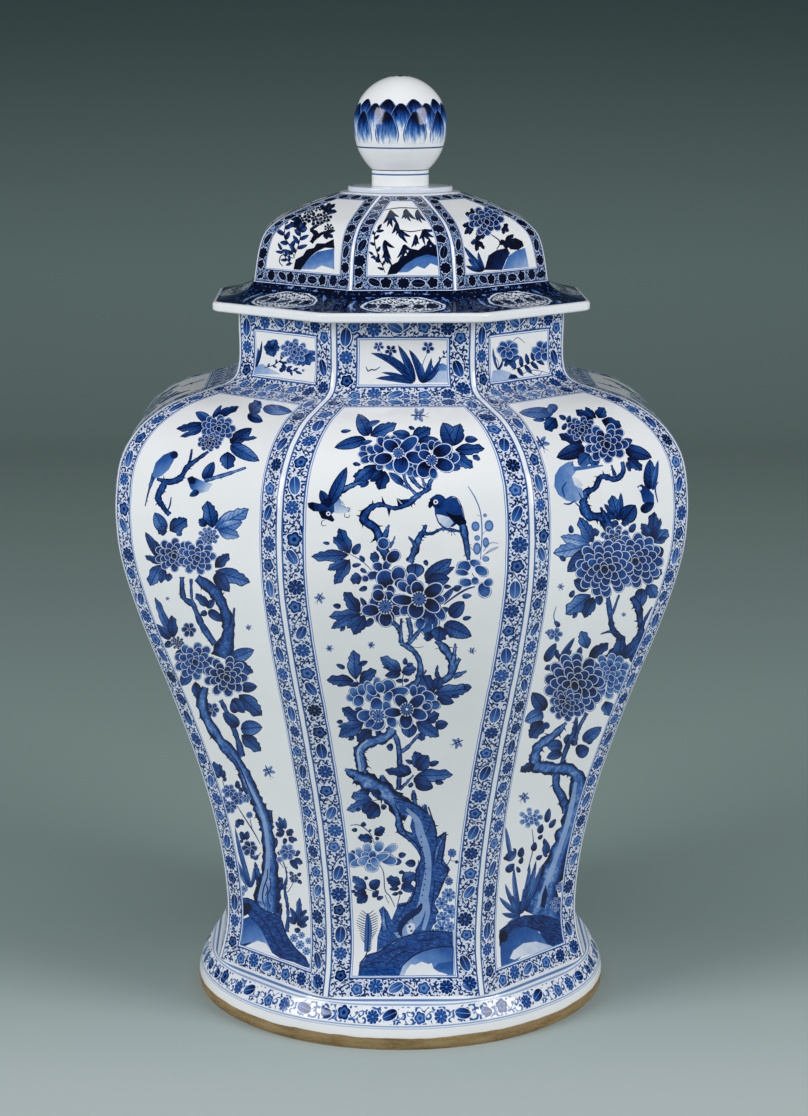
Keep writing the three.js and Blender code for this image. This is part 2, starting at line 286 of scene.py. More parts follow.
def topmost(strokes, centres):
    """Number of the last stroke over each centre, or -1: a stroke covers a point when its
    outline winds round it, which is counted from the edges that cross the point's level."""
    order = np.argsort(centres[:, 1])
    x, y = centres[order].T
    top = np.full(len(order), -1)
    for number, corners in enumerate(strokes):
        low, high = corners.min(0), corners.max(0)
        start, stop = np.searchsorted(y, [low[1], high[1]])
        near = start + np.flatnonzero((x[start:stop] > low[0]) & (x[start:stop] < high[0]))
        (x0, y0), (x1, y1) = corners.T[..., None], np.roll(corners, -1, 0).T[..., None]
        level = (y[near] >= y0) != (y[near] >= y1)
        beside = (x1 - x0) * (y[near] - y0) - (x[near] - x0) * (y1 - y0)
        winding = (level * np.where(y1 > y0, beside > 0, -(beside < 0).astype(int))).sum(0)
        top[order[near[winding != 0]]] = number
    return top


def divided(corners, limit):
    """A closed outline with points added evenly until no edge is longer than the limit, so
    that it can follow a curved side."""
    edges = np.roll(corners, -1, 0) - corners
    parts = np.maximum(np.ceil(np.hypot(*edges.T) / limit), 1).astype(int)
    start = np.repeat(np.arange(len(corners)), parts)
    share = (np.arange(len(start)) - (np.cumsum(parts) - parts)[start]) / parts[start]
    return corners[start] + share[:, None] * edges[start]


def net(section, side, rows, strokes):
    """Triangles over a side: the side's outline, a grid of loose points and the outline of
    each stroke go into the Delaunay net. Each triangle keeps the last stroke that covers it."""
    width = section.half_width(side, rows)
    low, high = columns_at(section, side, rows[0]), columns_at(section, side, rows[-1])
    edge = [np.stack([low, np.full(len(low), rows[0])], 1),
            np.stack([width[1:], rows[1:]], 1),
            np.stack([high[:-1][::-1], np.full(len(high) - 1, rows[-1])], 1),
            np.stack([-width[1:-1][::-1], rows[1:-1][::-1]], 1)]
    outline = np.concatenate(edge)
    inner = np.concatenate([np.stack([xs[1:-1], np.full(len(xs) - 2, y)], 1) for xs, y in
                            ((columns_at(section, side, y), y) for y in rows[1:-1])])
    loops = [outline] + [divided(stroke, rows[1] - rows[0]) for stroke in strokes]
    starts = len(inner) + np.cumsum([0] + [len(loop) for loop in loops])
    edges = np.concatenate([np.stack([np.arange(a, b), np.roll(np.arange(a, b), -1)], 1)
                            for a, b in zip(starts[:-1], starts[1:])])
    flat = np.concatenate([inner] + loops)
    made = delaunay_2d_cdt([Vector(p) for p in flat.tolist()], edges.tolist(), [], 0, 1e-7, False)
    spots, triangles = np.array([(v.x, v.y) for v in made[0]]), np.array(made[2])
    nearest = ((spots[:, None] - outline) ** 2).sum(-1).argmin(0)
    spots[nearest] = outline
    first, second, third = (spots[triangles[:, i]] for i in range(3))
    centres = (first + second + third) / 3
    turn = np.cross(second - first, third - first)
    triangles[turn < 0] = triangles[turn < 0][:, ::-1]
    keep = (np.abs(turn) > 1e-12) & (np.abs(centres[:, 0]) < np.interp(centres[:, 1], rows, width))
    return spots, triangles[keep], topmost(strokes, centres[keep])


def grid_triangles(rows, columns):
    """Two triangles for each cell of a grid whose points run along the columns first."""
    start = (np.arange(rows - 1)[:, None] * columns + np.arange(columns - 1)).ravel()
    return np.concatenate([np.stack([start, start + 1, start + columns + 1], 1),
                           np.stack([start, start + columns + 1, start + columns], 1)])

# %% A shell of patches
class Shell:
    """Patches of one piece. Each has its triangles' corners, normals and paint data; the
    finished mesh welds corners that lie within a ten-thousandth of a millimetre, and drops
    triangles that are flat or lie folded on each other."""

    def __init__(self):
        self.patches = []

    def add(self, points, normals, atlas, panel=None, stamp=None, local=None, finish=0):
        """Keeps triangles as arrays of three corners each; paint data left out are zero."""
        count = len(points)
        blank = np.zeros((count, 3, 3))
        self.patches.append((points, normals, atlas, blank if panel is None else panel,
                             blank if stamp is None else stamp,
                             blank if local is None else local, np.full(count, finish)))

    def add_grid(self, points, atlas, panel=None, finish=0, outward=None):
        """A patch from a grid of points (rows, columns, 3); normals come from its slopes."""
        rows, columns = points.shape[:2]
        across = np.gradient(points, axis=1)
        upward = np.gradient(points, axis=0)
        normal = np.cross(across, upward)
        size = np.linalg.norm(normal, axis=-1, keepdims=True)
        normal = normal / np.maximum(size, 1e-9)
        if outward is not None:
            normal = outward
        triangles = grid_triangles(rows, columns)
        low_u, low_v, high_u, high_v = atlas
        u, v = np.meshgrid(np.linspace(low_u, high_u, columns), np.linspace(low_v, high_v, rows))
        flat = [grid.reshape(-1, grid.shape[-1]) for grid in (points, normal, np.stack([u, v], -1))]
        more = None if panel is None else panel.reshape(-1, 3)[triangles]
        self.add(flat[0][triangles], flat[1][triangles], flat[2][triangles], panel=more, finish=finish)

    def make(self, name, materials, ride, nodes, slot):
        """The finished piece: corners with equal rounded places become one vertex."""
        points, normals, atlas, panel, stamp, local, finish = (
            np.concatenate(part) for part in zip(*self.patches))
        on_axis = np.hypot(points[..., 0], points[..., 1]) < 0.02
        points[..., :2][on_axis] = 0
        keys = np.round(points.reshape(-1, 3) * 1e4).astype(np.int64)
        _, first, index = np.unique(keys, axis=0, return_index=True, return_inverse=True)
        triangles = index.reshape(-1, 3)
        whole = ((triangles[:, 0] != triangles[:, 1]) & (triangles[:, 1] != triangles[:, 2])
                 & (triangles[:, 2] != triangles[:, 0]))
        _, twin, count = np.unique(np.sort(triangles, 1), axis=0, return_inverse=True, return_counts=True)
        whole &= count[twin.ravel()] == 1
        triangles = triangles[whole]
        mesh = bpy.data.meshes.new(name)
        mesh.from_pydata(points.reshape(-1, 3)[first] * MM, [], triangles)
        for title, data in (("panel", panel), ("stamp", stamp), ("local", local)):
            layer = mesh.attributes.new(title, 'FLOAT_VECTOR', 'CORNER')
            layer.data.foreach_set("vector", data[whole].ravel())
        uv = mesh.uv_layers.new(name="OFBake")
        uv.data.foreach_set("uv", atlas[whole].ravel())
        mesh.polygons.foreach_set("material_index", finish[whole].astype(np.int32))
        mesh.polygons.foreach_set("use_smooth", np.ones(len(triangles), bool))
        mesh.normals_split_custom_set(normals[whole].reshape(-1, 3).tolist())
        for material in materials:
            mesh.materials.append(material)
        piece = bpy.data.objects.new(name, mesh)
        bpy.context.scene.collection.objects.link(piece)
        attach(piece, ride)
        if nodes:
            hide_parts(*nodes)
        edges = np.sort(np.concatenate([triangles[:, [0, 1]], triangles[:, [1, 2]], triangles[:, [2, 0]]]), 1)
        _, shared = np.unique(edges, axis=0, return_counts=True)
        print(name, "triangles:", len(triangles), "open edges:", int((shared == 1).sum()),
              "crowded edges:", int((shared > 2).sum()))
        return piece

# %% A painted side
nets = {}


def painted_side(shell, section, side, rows, art, atlas, mirrored=False, finish=0):
    """Adds one side of a section with its strokes; art is a list of (corners, local, stamp).
    Sides of one shape share a net, and a mirrored side turns it over."""
    flip = np.array([-1.0, 1.0]) if mirrored else np.ones(2)
    key = id(art), id(section), round(float(section.half_width(side, 0)), 6)
    if key not in nets:
        nets[key] = net(section, side, rows, [corners for corners, _, _ in art])
    spots, triangles, top = nets[key]
    spots = spots * flip
    triangles = triangles[:, ::-1] if mirrored else triangles
    x, y = spots[:, 0], spots[:, 1]
    width = section.half_width(side, y)
    points, normals = section.place(side, x, y), section.normal(side, x, y)
    panel = np.stack([x, y, width], 1)
    low_u, low_v, high_u, high_v = atlas
    widest = section.half_width(side, rows).max()
    u = low_u + (high_u - low_u) * (x / widest + 1) / 2
    v = low_v + (high_v - low_v) * (y - rows[0]) / (rows[-1] - rows[0])
    count = len(triangles)
    stamp, local = np.zeros((count, 3, 3)), np.zeros((count, 3, 3))
    painted = top >= 0
    if painted.any():
        slopes = np.zeros((len(art), 2, 3))
        for number, (corners, inner, _) in enumerate(art):
            base = np.concatenate([corners * flip, np.ones((len(corners), 1))], 1)
            slopes[number] = np.linalg.lstsq(base, inner, rcond=None)[0].T
        marks = np.array([mark for _, _, mark in art], float)
        here = np.concatenate([spots[triangles[painted]], np.ones((painted.sum(), 3, 1))], 2)
        local[painted, :, :2] = np.einsum('nij,nkj->nki', slopes[top[painted]], here)
        stamp[painted] = marks[top[painted]][:, None, :]
    shell.add(points[triangles], normals[triangles], np.stack([u, v], 1)[triangles],
              panel[triangles], stamp, local, np.full(count, finish))

# %% [markdown]
# ## Bands
# The smaller eight-sided pieces have several stretches, such as an outer face, a rim and an
# inner face. Each stretch is a band of eight sides, and all bands share one map of the
# piece, laid above each other, so that each gets a share that suits what shows on it.

# %% Bands of an octagonal piece, side by side in one map
def laid_rows(section, step):
    """Even distances along a section, none further apart than the step."""
    return np.linspace(0, section.length, max(int(np.ceil(section.length / step)), 1) + 1)


def grid_side(shell, section, side, rows, atlas, finish=0):
    """Adds one plain side as a grid: each row is the section's outline at that height."""
    x = np.stack([columns_at(section, side, y) for y in rows])
    y = np.broadcast_to(rows[:, None], x.shape)
    points, normals = section.place(side, x, y), section.normal(side, x, y)
    panel = np.stack([x, y, section.half_width(side, y)], -1)
    shell.add_grid(points, atlas, panel, finish, outward=normals)


def octagon_piece(name, bands, materials, ride, nodes, slot):
    """A closed loop of bands. Each band is (section, row step, share of the map's height,
    lines of sides in the map, art for each side or None, material number)."""
    shell, floor = Shell(), 0.0
    total = sum(band[2] for band in bands)
    for section, step, share, lines, art, finish in bands:
        share = share / total
        rows, in_line = laid_rows(section, step), SIDES // lines
        for side in range(SIDES):
            line, spot = divmod(side, in_line)
            low, high = (line + 0.01) / lines, (line + 0.99) / lines
            box = ((spot + 0.01) / in_line, floor + share * low,
                   (spot + 0.99) / in_line, floor + share * high)
            if art is None:
                grid_side(shell, section, side, rows, box, finish)
            else:
                painted_side(shell, section, side, rows, art[side], box, finish=finish)
        floor += share
    return shell.make(name, materials, ride, nodes, slot)

# %% [markdown]
# ## The body
# The body is one curve from the foot to the neck, with a wall about 8 mm thick. It could be
# one mesh, but each of its sides carries a whole picture, so each side is a piece of its own
# and gets its own share of detail. The cuts lie in the middle of the white ribs, where the
# glaze is plain.

# %% The body's eight sides
BODY_WALL, NECK_WALL, DOME_WALL, COLLAR_WALL = 8.0, 7.5, 6.0, 5.5
ROW_STEP = 5.5


def offset_in(section, wall, low, high, count=40):
    """A section moved inwards by a wall, square to its slope, between two given ends, each a
    height and a flat."""
    y = np.linspace(0, section.length, count)
    height, flat, _, corner = section.read(y)
    rise, run = np.gradient(height), np.gradient(flat)
    size = np.hypot(rise, run)
    inner = np.stack([height + wall * run / size, flat - wall * rise / size], 1)
    inner = inner[(inner[:, 0] > low[0] + 1) & (inner[:, 0] < high[0] - 1) & (inner[:, 1] > high[1])]
    inner = np.concatenate([[low], inner, [high]])
    round_off = np.interp(inner[:, 0], height, corner) if (np.diff(height) > 0).all() else corner[0]
    return np.stack([inner[:, 0], inner[:, 1], inner[:, 1], np.broadcast_to(round_off, len(inner))], 1)


body_inside = Section(offset_in(body, BODY_WALL, (FOOT_TOP, BODY_BOTTOM_FLAT - BODY_WALL),
                                (NECK_BASE, NECK_BASE_FLAT - NECK_WALL), 60))


def body_side(name, side, art, mirrored, material):
    """One side as a closed slab: the painted face, the face inside, and the four edges."""
    shell, rows = Shell(), laid_rows(body, ROW_STEP)
    inner_rows = np.linspace(0, body_inside.length, len(rows))
    painted_side(shell, body, side, rows, art, (0.01, 0.01, 0.85, 0.99), mirrored)

    def places(section, ys):
        x = np.stack([columns_at(section, side, y) for y in ys])
        y = np.broadcast_to(ys[:, None], x.shape)
        return section.place(side, x, y), section.normal(side, x, y)

    outer = places(body, rows)[0]
    inner, slope = places(body_inside, inner_rows)
    shell.add_grid(inner[:, ::-1], (0.87, 0.01, 0.99, 0.79), outward=-slope[:, ::-1])
    shell.add_grid(np.stack([inner[0], outer[0]]), (0.87, 0.81, 0.99, 0.84))
    shell.add_grid(np.stack([outer[-1], inner[-1]]), (0.87, 0.86, 0.99, 0.89))
    shell.add_grid(np.stack([inner[:, 0], outer[:, 0]], 1), (0.87, 0.91, 0.92, 0.99))
    shell.add_grid(np.stack([outer[:, -1], inner[:, -1]], 1), (0.94, 0.91, 0.99, 0.99))
    return shell.make(name, [material], "vase", ["lower_body", "upper_body"], "painted_glaze")

# %% [markdown]
# ## The other eight-sided pieces
# Neck, foot, flange, dome and collar are loops: the profile climbs the outside, turns over
# the rim and comes down the inside to where it began. A loop carried round the octagon is
# closed without any lid of its own. Each straight run of the loop is a section, so its
# edges stay crisp, and small rounded runs stand where glaze rounds a rim.

# %% Straight and rounded runs
FOOT_RIM, POCKET_WALL, LEDGE_WIDTH, FLOOR = 12.0, 8.4, 7.0, 9.0
FLANGE_RIM, COLLAR_DEPTH, LID_PLAY = 5.5, 28.0, 2.5
SOFT = 1.2


def run(*stations):
    """A short section through stations of height, flat, corner and, if it differs, diagonal."""
    return Section([(s[0], s[1], s[3] if len(s) > 3 else s[1], s[2]) for s in stations])


def soft_turn(height, flat, corner, start, turn, radius=SOFT, diagonal=0.0, steps=6):
    """A rounded rim: a quarter circle about a centre, from one angle through a turn."""
    angle = np.radians(start + turn * np.linspace(0, 1, steps + 1))
    high, wide = height + radius * np.sin(angle), flat + radius * np.cos(angle)
    return Section(np.stack([high, wide, wide - diagonal, np.full(steps + 1, corner)], 1))

# %% The neck and the foot
def neck_piece(art, materials):
    """The outer face, a rounded rim, and the same curve moved inwards by the wall."""
    top, foot_end = neck.columns[-1], neck.columns[0]
    outer = neck.columns.copy()
    outer[-1, 0] -= SOFT
    bands = [
        (Section(outer), 2.5, 6, 2, art, 0),
        (soft_turn(top[0] - SOFT, top[1] - SOFT, NECK_CORNER, 0, 90), 0.4, 0.3, 1, None, 1),
        (run((top[0], top[1] - SOFT, NECK_CORNER),
             (top[0], top[1] - NECK_WALL + SOFT, NECK_CORNER)), 9, 0.5, 1, None, 2),
        (soft_turn(top[0] - SOFT, top[1] - NECK_WALL + SOFT, NECK_CORNER, 90, 90), 0.4, 0.3, 1,
         None, 2),
        (Section(np.concatenate([
            [[top[0] - SOFT, top[1] - NECK_WALL, top[1] - NECK_WALL, NECK_CORNER]],
            (neck.columns - [0, NECK_WALL, NECK_WALL, 0])[-6::-6],
            [[NECK_BASE, foot_end[1] - NECK_WALL, foot_end[1] - NECK_WALL, foot_end[3]]]])),
         6, 2, 1, None, 1),
        (run((NECK_BASE, foot_end[1] - NECK_WALL, foot_end[3]), (NECK_BASE, foot_end[1], foot_end[3])),
         9, 0.4, 1, None, 1)]
    return octagon_piece("neck_tube", bands, materials, "vase", ["neck"], "painted_glaze")


def foot_piece(materials):
    """The spreading foot outside, and inside it a pocket for the floor above a sloping wall."""
    standing = foot.columns[0, 1]
    pocket = BODY_BOTTOM_FLAT - POCKET_WALL
    ledge = FOOT_TOP - FLOOR
    bands = [
        (foot, 1.2, 6, 2, None, 0),
        (run((FOOT_TOP, BODY_BOTTOM_FLAT, BODY_CORNER), (FOOT_TOP, pocket, pocket * .96)), 5, 0.6, 1,
         None, 1),
        (run((FOOT_TOP, pocket, pocket * .96), (ledge, pocket, pocket * .96)), 5, 0.5, 1, None, 1),
        (run((ledge, pocket, pocket * .96),
             (ledge, pocket - LEDGE_WIDTH, (pocket - LEDGE_WIDTH) * .96)), 5, 0.5, 1, None, 1),
        (run((ledge, pocket - LEDGE_WIDTH, (pocket - LEDGE_WIDTH) * .96),
             (SOFT, standing - FOOT_RIM - 1, (standing - FOOT_RIM) * .985)), 5, 1, 1, None, 1),
        (run((SOFT, standing - FOOT_RIM - 1, (standing - FOOT_RIM) * .985),
             (0, standing - FOOT_RIM, (standing - FOOT_RIM) * .985),
             (0, standing, standing * .985)), 3, 0.8, 1, None, 2)]
    return octagon_piece("foot_ring_turned", bands, materials, "vase", ["foot_ring"], "painted_glaze")

# %% The flange
flange_rim_top = MOUTH + FLANGE_RIM
flange_curve = smooth(flange_share, 60)
flange_flat = DOME_FLAT + (FLANGE_FLAT - DOME_FLAT) * flange_curve[:, 1]
flange_slope = Section(np.stack([
    flange_rim_top + (DOME_BASE - flange_rim_top) * flange_curve[:, 0], flange_flat,
    flange_flat * (1 + (DIAGONAL_SHARE - 1) * (1 - flange_curve[:, 1])),
    DOME_CORNER + (FLANGE_CORNER - DOME_CORNER) * flange_curve[:, 1]], 1))


def flange_piece(materials):
    """A rim with rounded edges, the slope up to the dome, and a way down through the collar."""
    start, end = flange_slope.columns[0], flange_slope.columns[-1]
    rim = 1.5
    inner = DOME_FLAT - DOME_WALL
    collar = NECK_FLAT - NECK_WALL - LID_PLAY - COLLAR_WALL
    bands = [
        (soft_turn(MOUTH + rim, FLANGE_FLAT - rim, FLANGE_CORNER, -90, 90, rim), 0.4, 0.4, 1, None, 1),
        (run((MOUTH + rim, FLANGE_FLAT, FLANGE_CORNER),
             (flange_rim_top - rim, FLANGE_FLAT, FLANGE_CORNER)), 2, 0.5, 1, None, 1),
        (Section(np.concatenate([
            soft_turn(flange_rim_top - rim, FLANGE_FLAT - rim, FLANGE_CORNER, 0, 62, rim).columns,
            [start]])), 0.4, 0.5, 1, None, 1),
        (flange_slope, 1.5, 5, 2, None, 0),
        (run((DOME_BASE, end[1], end[3], end[2]), (DOME_BASE, inner, DOME_CORNER, end[2] - DOME_WALL)),
         9, 0.4, 1, None, 1),
        (run((DOME_BASE, inner, DOME_CORNER, end[2] - DOME_WALL), (MOUTH, collar, NECK_CORNER)), 5, 1,
         1, None, 1),
        (run((MOUTH, collar, NECK_CORNER), (MOUTH, FLANGE_FLAT - rim, FLANGE_CORNER)), 6, 2, 1, None, 2)]
    return octagon_piece("lid_flange_slope", bands, materials, "lid", ["lid_flange"], "painted_glaze")

# %% The dome and the collar
def dome_piece(art, materials):
    """The dome outside and the same curve moved inwards by the wall, each closed at its top."""
    end = dome.columns[-1]
    inner = offset_in(Section(dome.columns[:, [0, 1, 1, 3]]), DOME_WALL,
                      (DOME_BASE, DOME_FLAT - DOME_WALL), (PLINTH - DOME_WALL, DOME_TOP_FLAT - 6), 40)
    inner[:, 2] = inner[:, 1] - DOME_FLAT * (1 - DIAGONAL_SHARE) * inner[:, 1] / (DOME_FLAT - DOME_WALL)
    inner = inner[::-1]
    tip = 0.004
    bands = [
        (dome, 2.5, 6, 2, art, 0),
        (run((PLINTH, end[1], DOME_CORNER, end[2]), (PLINTH, tip, tip * .9)), 9, 0.6, 1, None, 1),
        (run((PLINTH - DOME_WALL, tip, tip * .9),
             (PLINTH - DOME_WALL, inner[0, 1], DOME_CORNER, inner[0, 2])), 9, 0.6, 1, None, 1),
        (Section(inner), 5, 2, 1, None, 1),
        (run((DOME_BASE, inner[-1, 1], DOME_CORNER, inner[-1, 2]),
             (DOME_BASE, DOME_FLAT, DOME_CORNER, DOME_FLAT * DIAGONAL_SHARE)), 9, 0.4, 1, None, 1)]
    return octagon_piece("lid_dome_ribbed", bands, materials, "lid", ["lid_dome"], "painted_glaze")


def collar_piece(materials):
    """The ring that drops into the mouth: two upright faces and a rounded lower edge."""
    outer, low, high = NECK_FLAT - NECK_WALL - LID_PLAY, MOUTH - COLLAR_DEPTH, MOUTH
    inner = outer - COLLAR_WALL
    bands = [
        (run((low + SOFT, outer, NECK_CORNER), (high, outer, NECK_CORNER)), 6, 3, 1, None, 0),
        (run((high, outer, NECK_CORNER), (high, inner, NECK_CORNER)), 9, 0.5, 1, None, 0),
        (run((high, inner, NECK_CORNER), (low + SOFT, inner, NECK_CORNER)), 6, 3, 1, None, 0),
        (soft_turn(low + SOFT, inner + SOFT, NECK_CORNER, 180, 90), 0.4, 0.3, 1, None, 0),
        (run((low, inner + SOFT, NECK_CORNER), (low, outer - SOFT, NECK_CORNER)), 9, 0.5, 1, None, 0),
        (soft_turn(low + SOFT, outer - SOFT, NECK_CORNER, -90, 90), 0.4, 0.3, 1, None, 0)]
    return octagon_piece("lid_collar_ring", bands, materials, "lid", ["lid_collar"], "bare_clay")

# %% [markdown]
# ## The turned pieces
# The floor, the plinth, the stem and the knob came off a potter's wheel, so each is a
# profile turned about the axis. Edges are rounded by about a millimetre, as glaze never
# leaves a sharp edge. At the poles all corners meet in one point.

# %% Turned pieces
ROUND_STEPS = 96


def turned_piece(name, runs, materials, ride, nodes, slot, steps=ROUND_STEPS):
    """Each run is (radii, heights, share of the map, material number); its points are turned
    about the axis. The panel data hold the turn in eighths, the place along the run and the radius."""
    shell, floor = Shell(), 0.0
    total = sum(part[2] for part in runs)
    angle = np.linspace(0, 2 * np.pi, steps + 1) - np.pi / 2
    angle[-1] = angle[0]
    for radii, heights, share, finish in runs:
        radii, heights = np.asarray(radii, float), np.asarray(heights, float)
        points = np.stack([np.outer(radii, np.cos(angle)), np.outer(radii, np.sin(angle)),
                           np.repeat(heights[:, None], steps + 1, 1)], -1)
        run_r, rise = np.gradient(radii), np.gradient(heights)
        size = np.hypot(run_r, rise)
        out, up = rise / size, -run_r / size
        normals = np.stack([np.outer(out, np.cos(angle)), np.outer(out, np.sin(angle)),
                            np.repeat(up[:, None], steps + 1, 1)], -1)
        along = np.concatenate([[0], np.cumsum(np.hypot(np.diff(radii), np.diff(heights)))])
        turns = np.linspace(0, 8, steps + 1)
        panel = np.stack([np.broadcast_to(turns, points.shape[:2]),
                          np.broadcast_to(along[:, None], points.shape[:2]),
                          np.broadcast_to(radii[:, None], points.shape[:2])], -1)
        box = (0.01, floor + 0.01, 0.99, floor + share / total - 0.01)
        shell.add_grid(points, box, panel, finish, outward=normals)
        floor += share / total
    return shell.make(name, materials, ride, nodes, slot)


def bent(height, radius, start, turn, size, steps=5):
    """Radii and heights of a rounded edge, a part of a circle about a centre."""
    angle = np.radians(start + turn * np.linspace(0, 1, steps + 1))
    return radius + size * np.cos(angle), height + size * np.sin(angle)


def disc_runs(radius, low, high, edge, finish=0):
    """A flat disc with rounded edges: underside, edge and top."""
    under = bent(low + edge, radius - edge, -90, 90, edge)
    over = bent(high - edge, radius - edge, 0, 90, edge)
    return [([0, radius * .5, radius - edge], [low] * 3, 1.5, finish),
            (*under, 0.4, finish),
            ([radius, radius], [low + edge, high - edge], 1.5, finish),
            (*over, 0.4, finish),
            ([radius - edge, radius * .5, 0], [high] * 3, 1.5, finish)]


KNOB_RADIUS, KNOB_FOOT, KNOB_VENT, KNOB_WALL, KNOB_CENTRE = 29.8, 17.9, 9.0, 6.0, 0.49
STEM_RADIUS, PLINTH_RADIUS, LUTING_GAP = 18.2, 33.5, 0.3
knob_share = [(0, 0), (.08, .36), (.18, .67), (.28, .85), (.39, .96), (.49, 1)]


def knob_profile():
    """Radius and height of the knob: a swelling cup, then a cap whose height is a little less
    than its radius."""
    height = TOP - KNOB
    cup = smooth(knob_share, 30)
    middle = KNOB + height * KNOB_CENTRE
    angle = np.linspace(0, np.pi / 2, 34)[1:]
    radii = np.concatenate([KNOB_FOOT + (KNOB_RADIUS - KNOB_FOOT) * cup[:, 1], KNOB_RADIUS * np.cos(angle)])
    heights = np.concatenate([KNOB + height * cup[:, 0], middle + (TOP - middle) * np.sin(angle)])
    radii[-1] = 0
    return radii, heights


def knob_piece(materials):
    """The bud, and its hollow: the same profile shrunk about the middle, with a vent below."""
    radii, heights = knob_profile()
    shrink = 1 - KNOB_WALL / KNOB_RADIUS
    middle = KNOB + (TOP - KNOB) * KNOB_CENTRE
    inner_r, inner_z = radii[::-1][:-8:3] * shrink, heights[::-1][:-8:3]
    inner_z = middle + (inner_z - middle) * shrink
    inner_r, inner_z = np.append(inner_r, KNOB_VENT), np.append(inner_z, KNOB + KNOB_WALL)
    runs = [(radii, heights, 6, 0), (inner_r, inner_z, 1, 1),
            ([KNOB_VENT, KNOB_VENT], [KNOB + KNOB_WALL, KNOB], 0.4, 1),
            ([KNOB_VENT, KNOB_FOOT], [KNOB, KNOB], 0.4, 1)]
    return turned_piece("knob_ball_painted", runs, materials, "lid", ["knob_ball"], "painted_glaze", 128)

# %% [markdown]
# ## Arithmetic with wires
# The painted effects below need many Math nodes. Wiring each by hand hides the idea, so a
# small helper stands for a node's output. Adding two such wires places an Add node, and so
# on. What comes out is an ordinary node tree that can be opened and changed by hand.

# %% A wire that does arithmetic
class Wire:
    """The output of a node; arithmetic on it adds Math nodes to the same tree."""

    def __init__(self, tree, socket):
        self.tree, self.socket = tree, socket

    def math(self, operation, *others):
        """A Math node whose first value is this wire; further values are numbers or wires."""
        node = self.tree.nodes.new("ShaderNodeMath")
        node.operation = operation
        for slot, value in zip(node.inputs, (self,) + others):
            if isinstance(value, Wire):
                self.tree.links.new(value.socket, slot)
            else:
                slot.default_value = value
        return Wire(self.tree, node.outputs[0])

    def __add__(self, other):
        return self.math('ADD', other)

    def __sub__(self, other):
        return self.math('SUBTRACT', other)

    def __mul__(self, other):
        return self.math('MULTIPLY', other)

    def __truediv__(self, other):
        return self.math('DIVIDE', other)

    def __abs__(self):
        return self.math('ABSOLUTE')

    __radd__, __rmul__ = __add__, __mul__

    def __rsub__(self, other):
        return self * -1.0 + other

    def low(self, other):
        return self.math('MINIMUM', other)

    def high(self, other):
        return self.math('MAXIMUM', other)

    def over(self, other):
        return self.math('GREATER_THAN', other)

    def is_near(self, number, reach=0.5):
        return self.math('COMPARE', number, reach)

    def step(self, start, end, goal=1.0, base=0.0):
        """A soft step from base at start to goal at end."""
        node = self.tree.nodes.new("ShaderNodeMapRange")
        node.interpolation_type = 'SMOOTHSTEP'
        for title, value in (("Value", self), ("From Min", start), ("From Max", end),
                             ("To Min", base), ("To Max", goal)):
            if isinstance(value, Wire):
                self.tree.links.new(value.socket, node.inputs[title])
            else:
                node.inputs[title].default_value = value
        return Wire(self.tree, node.outputs["Result"])

    def mix(self, first, second):
        """first where this wire is 0, second where it is 1."""
        return (second - first) * self + first if isinstance(second, Wire) else (
            self * (second - first) + first)

    def parts(self):
        node = self.tree.nodes.new("ShaderNodeSeparateXYZ")
        self.tree.links.new(self.socket, node.inputs[0])
        return [Wire(self.tree, out) for out in node.outputs]


def joined(x, y, z=0.0):
    """A vector wire from three numbers or wires."""
    tree = next(w.tree for w in (x, y, z) if isinstance(w, Wire))
    node = tree.nodes.new("ShaderNodeCombineXYZ")
    for slot, value in zip(node.inputs, (x, y, z)):
        if isinstance(value, Wire):
            tree.links.new(value.socket, slot)
        else:
            slot.default_value = value
    return Wire(tree, node.outputs[0])


def noise(vector, scale, detail=2.0, rough=0.5):
    """A noise wire between 0 and 1."""
    node = vector.tree.nodes.new("ShaderNodeTexNoise")
    node.inputs["Scale"].default_value = scale
    node.inputs["Detail"].default_value = detail
    node.inputs["Roughness"].default_value = rough
    vector.tree.links.new(vector.socket, node.inputs["Vector"])
    return Wire(vector.tree, node.outputs["Fac"])


def new_group(name, takes, gives):
    """An empty node group with named sockets, and wires from its inputs."""
    group = bpy.data.node_groups.new(name, "ShaderNodeTree")
    for title, value in takes:
        kind = "NodeSocketVector" if value is None else "NodeSocketFloat"
        socket = group.interface.new_socket(title, in_out="INPUT", socket_type=kind)
        if value is not None:
            socket.default_value = value
    for title, kind in gives:
        group.interface.new_socket(title, in_out="OUTPUT", socket_type=kind)
    entry, leave = group.nodes.new("NodeGroupInput"), group.nodes.new("NodeGroupOutput")
    return group, [Wire(group, out) for out in entry.outputs[:-1]], leave


def put(group_tree, wire, node, title):
    """Links a wire to a named input of a node."""
    group_tree.links.new(wire.socket, node.inputs[title])

# %% [markdown]
# ## The painter's borders
# Every picture is framed. A white rib stands on the corner, then a dark line, a strip of
# fine scrolls with dark flowers and leaves, and a double line. The strip could be drawn as
# strokes, but it holds thousands of curls, so it is computed from the panel data instead.
# In each cell of a Voronoi pattern the angle plus the distance from the cell's centre gives
# a spiral, which reads as a curl of the brush.

# %% Curls, strip flowers and frames
CURL_WINDING = 7.2
STRIP_MIDDLE, FLOWER_STEP = 8.3, 14.6


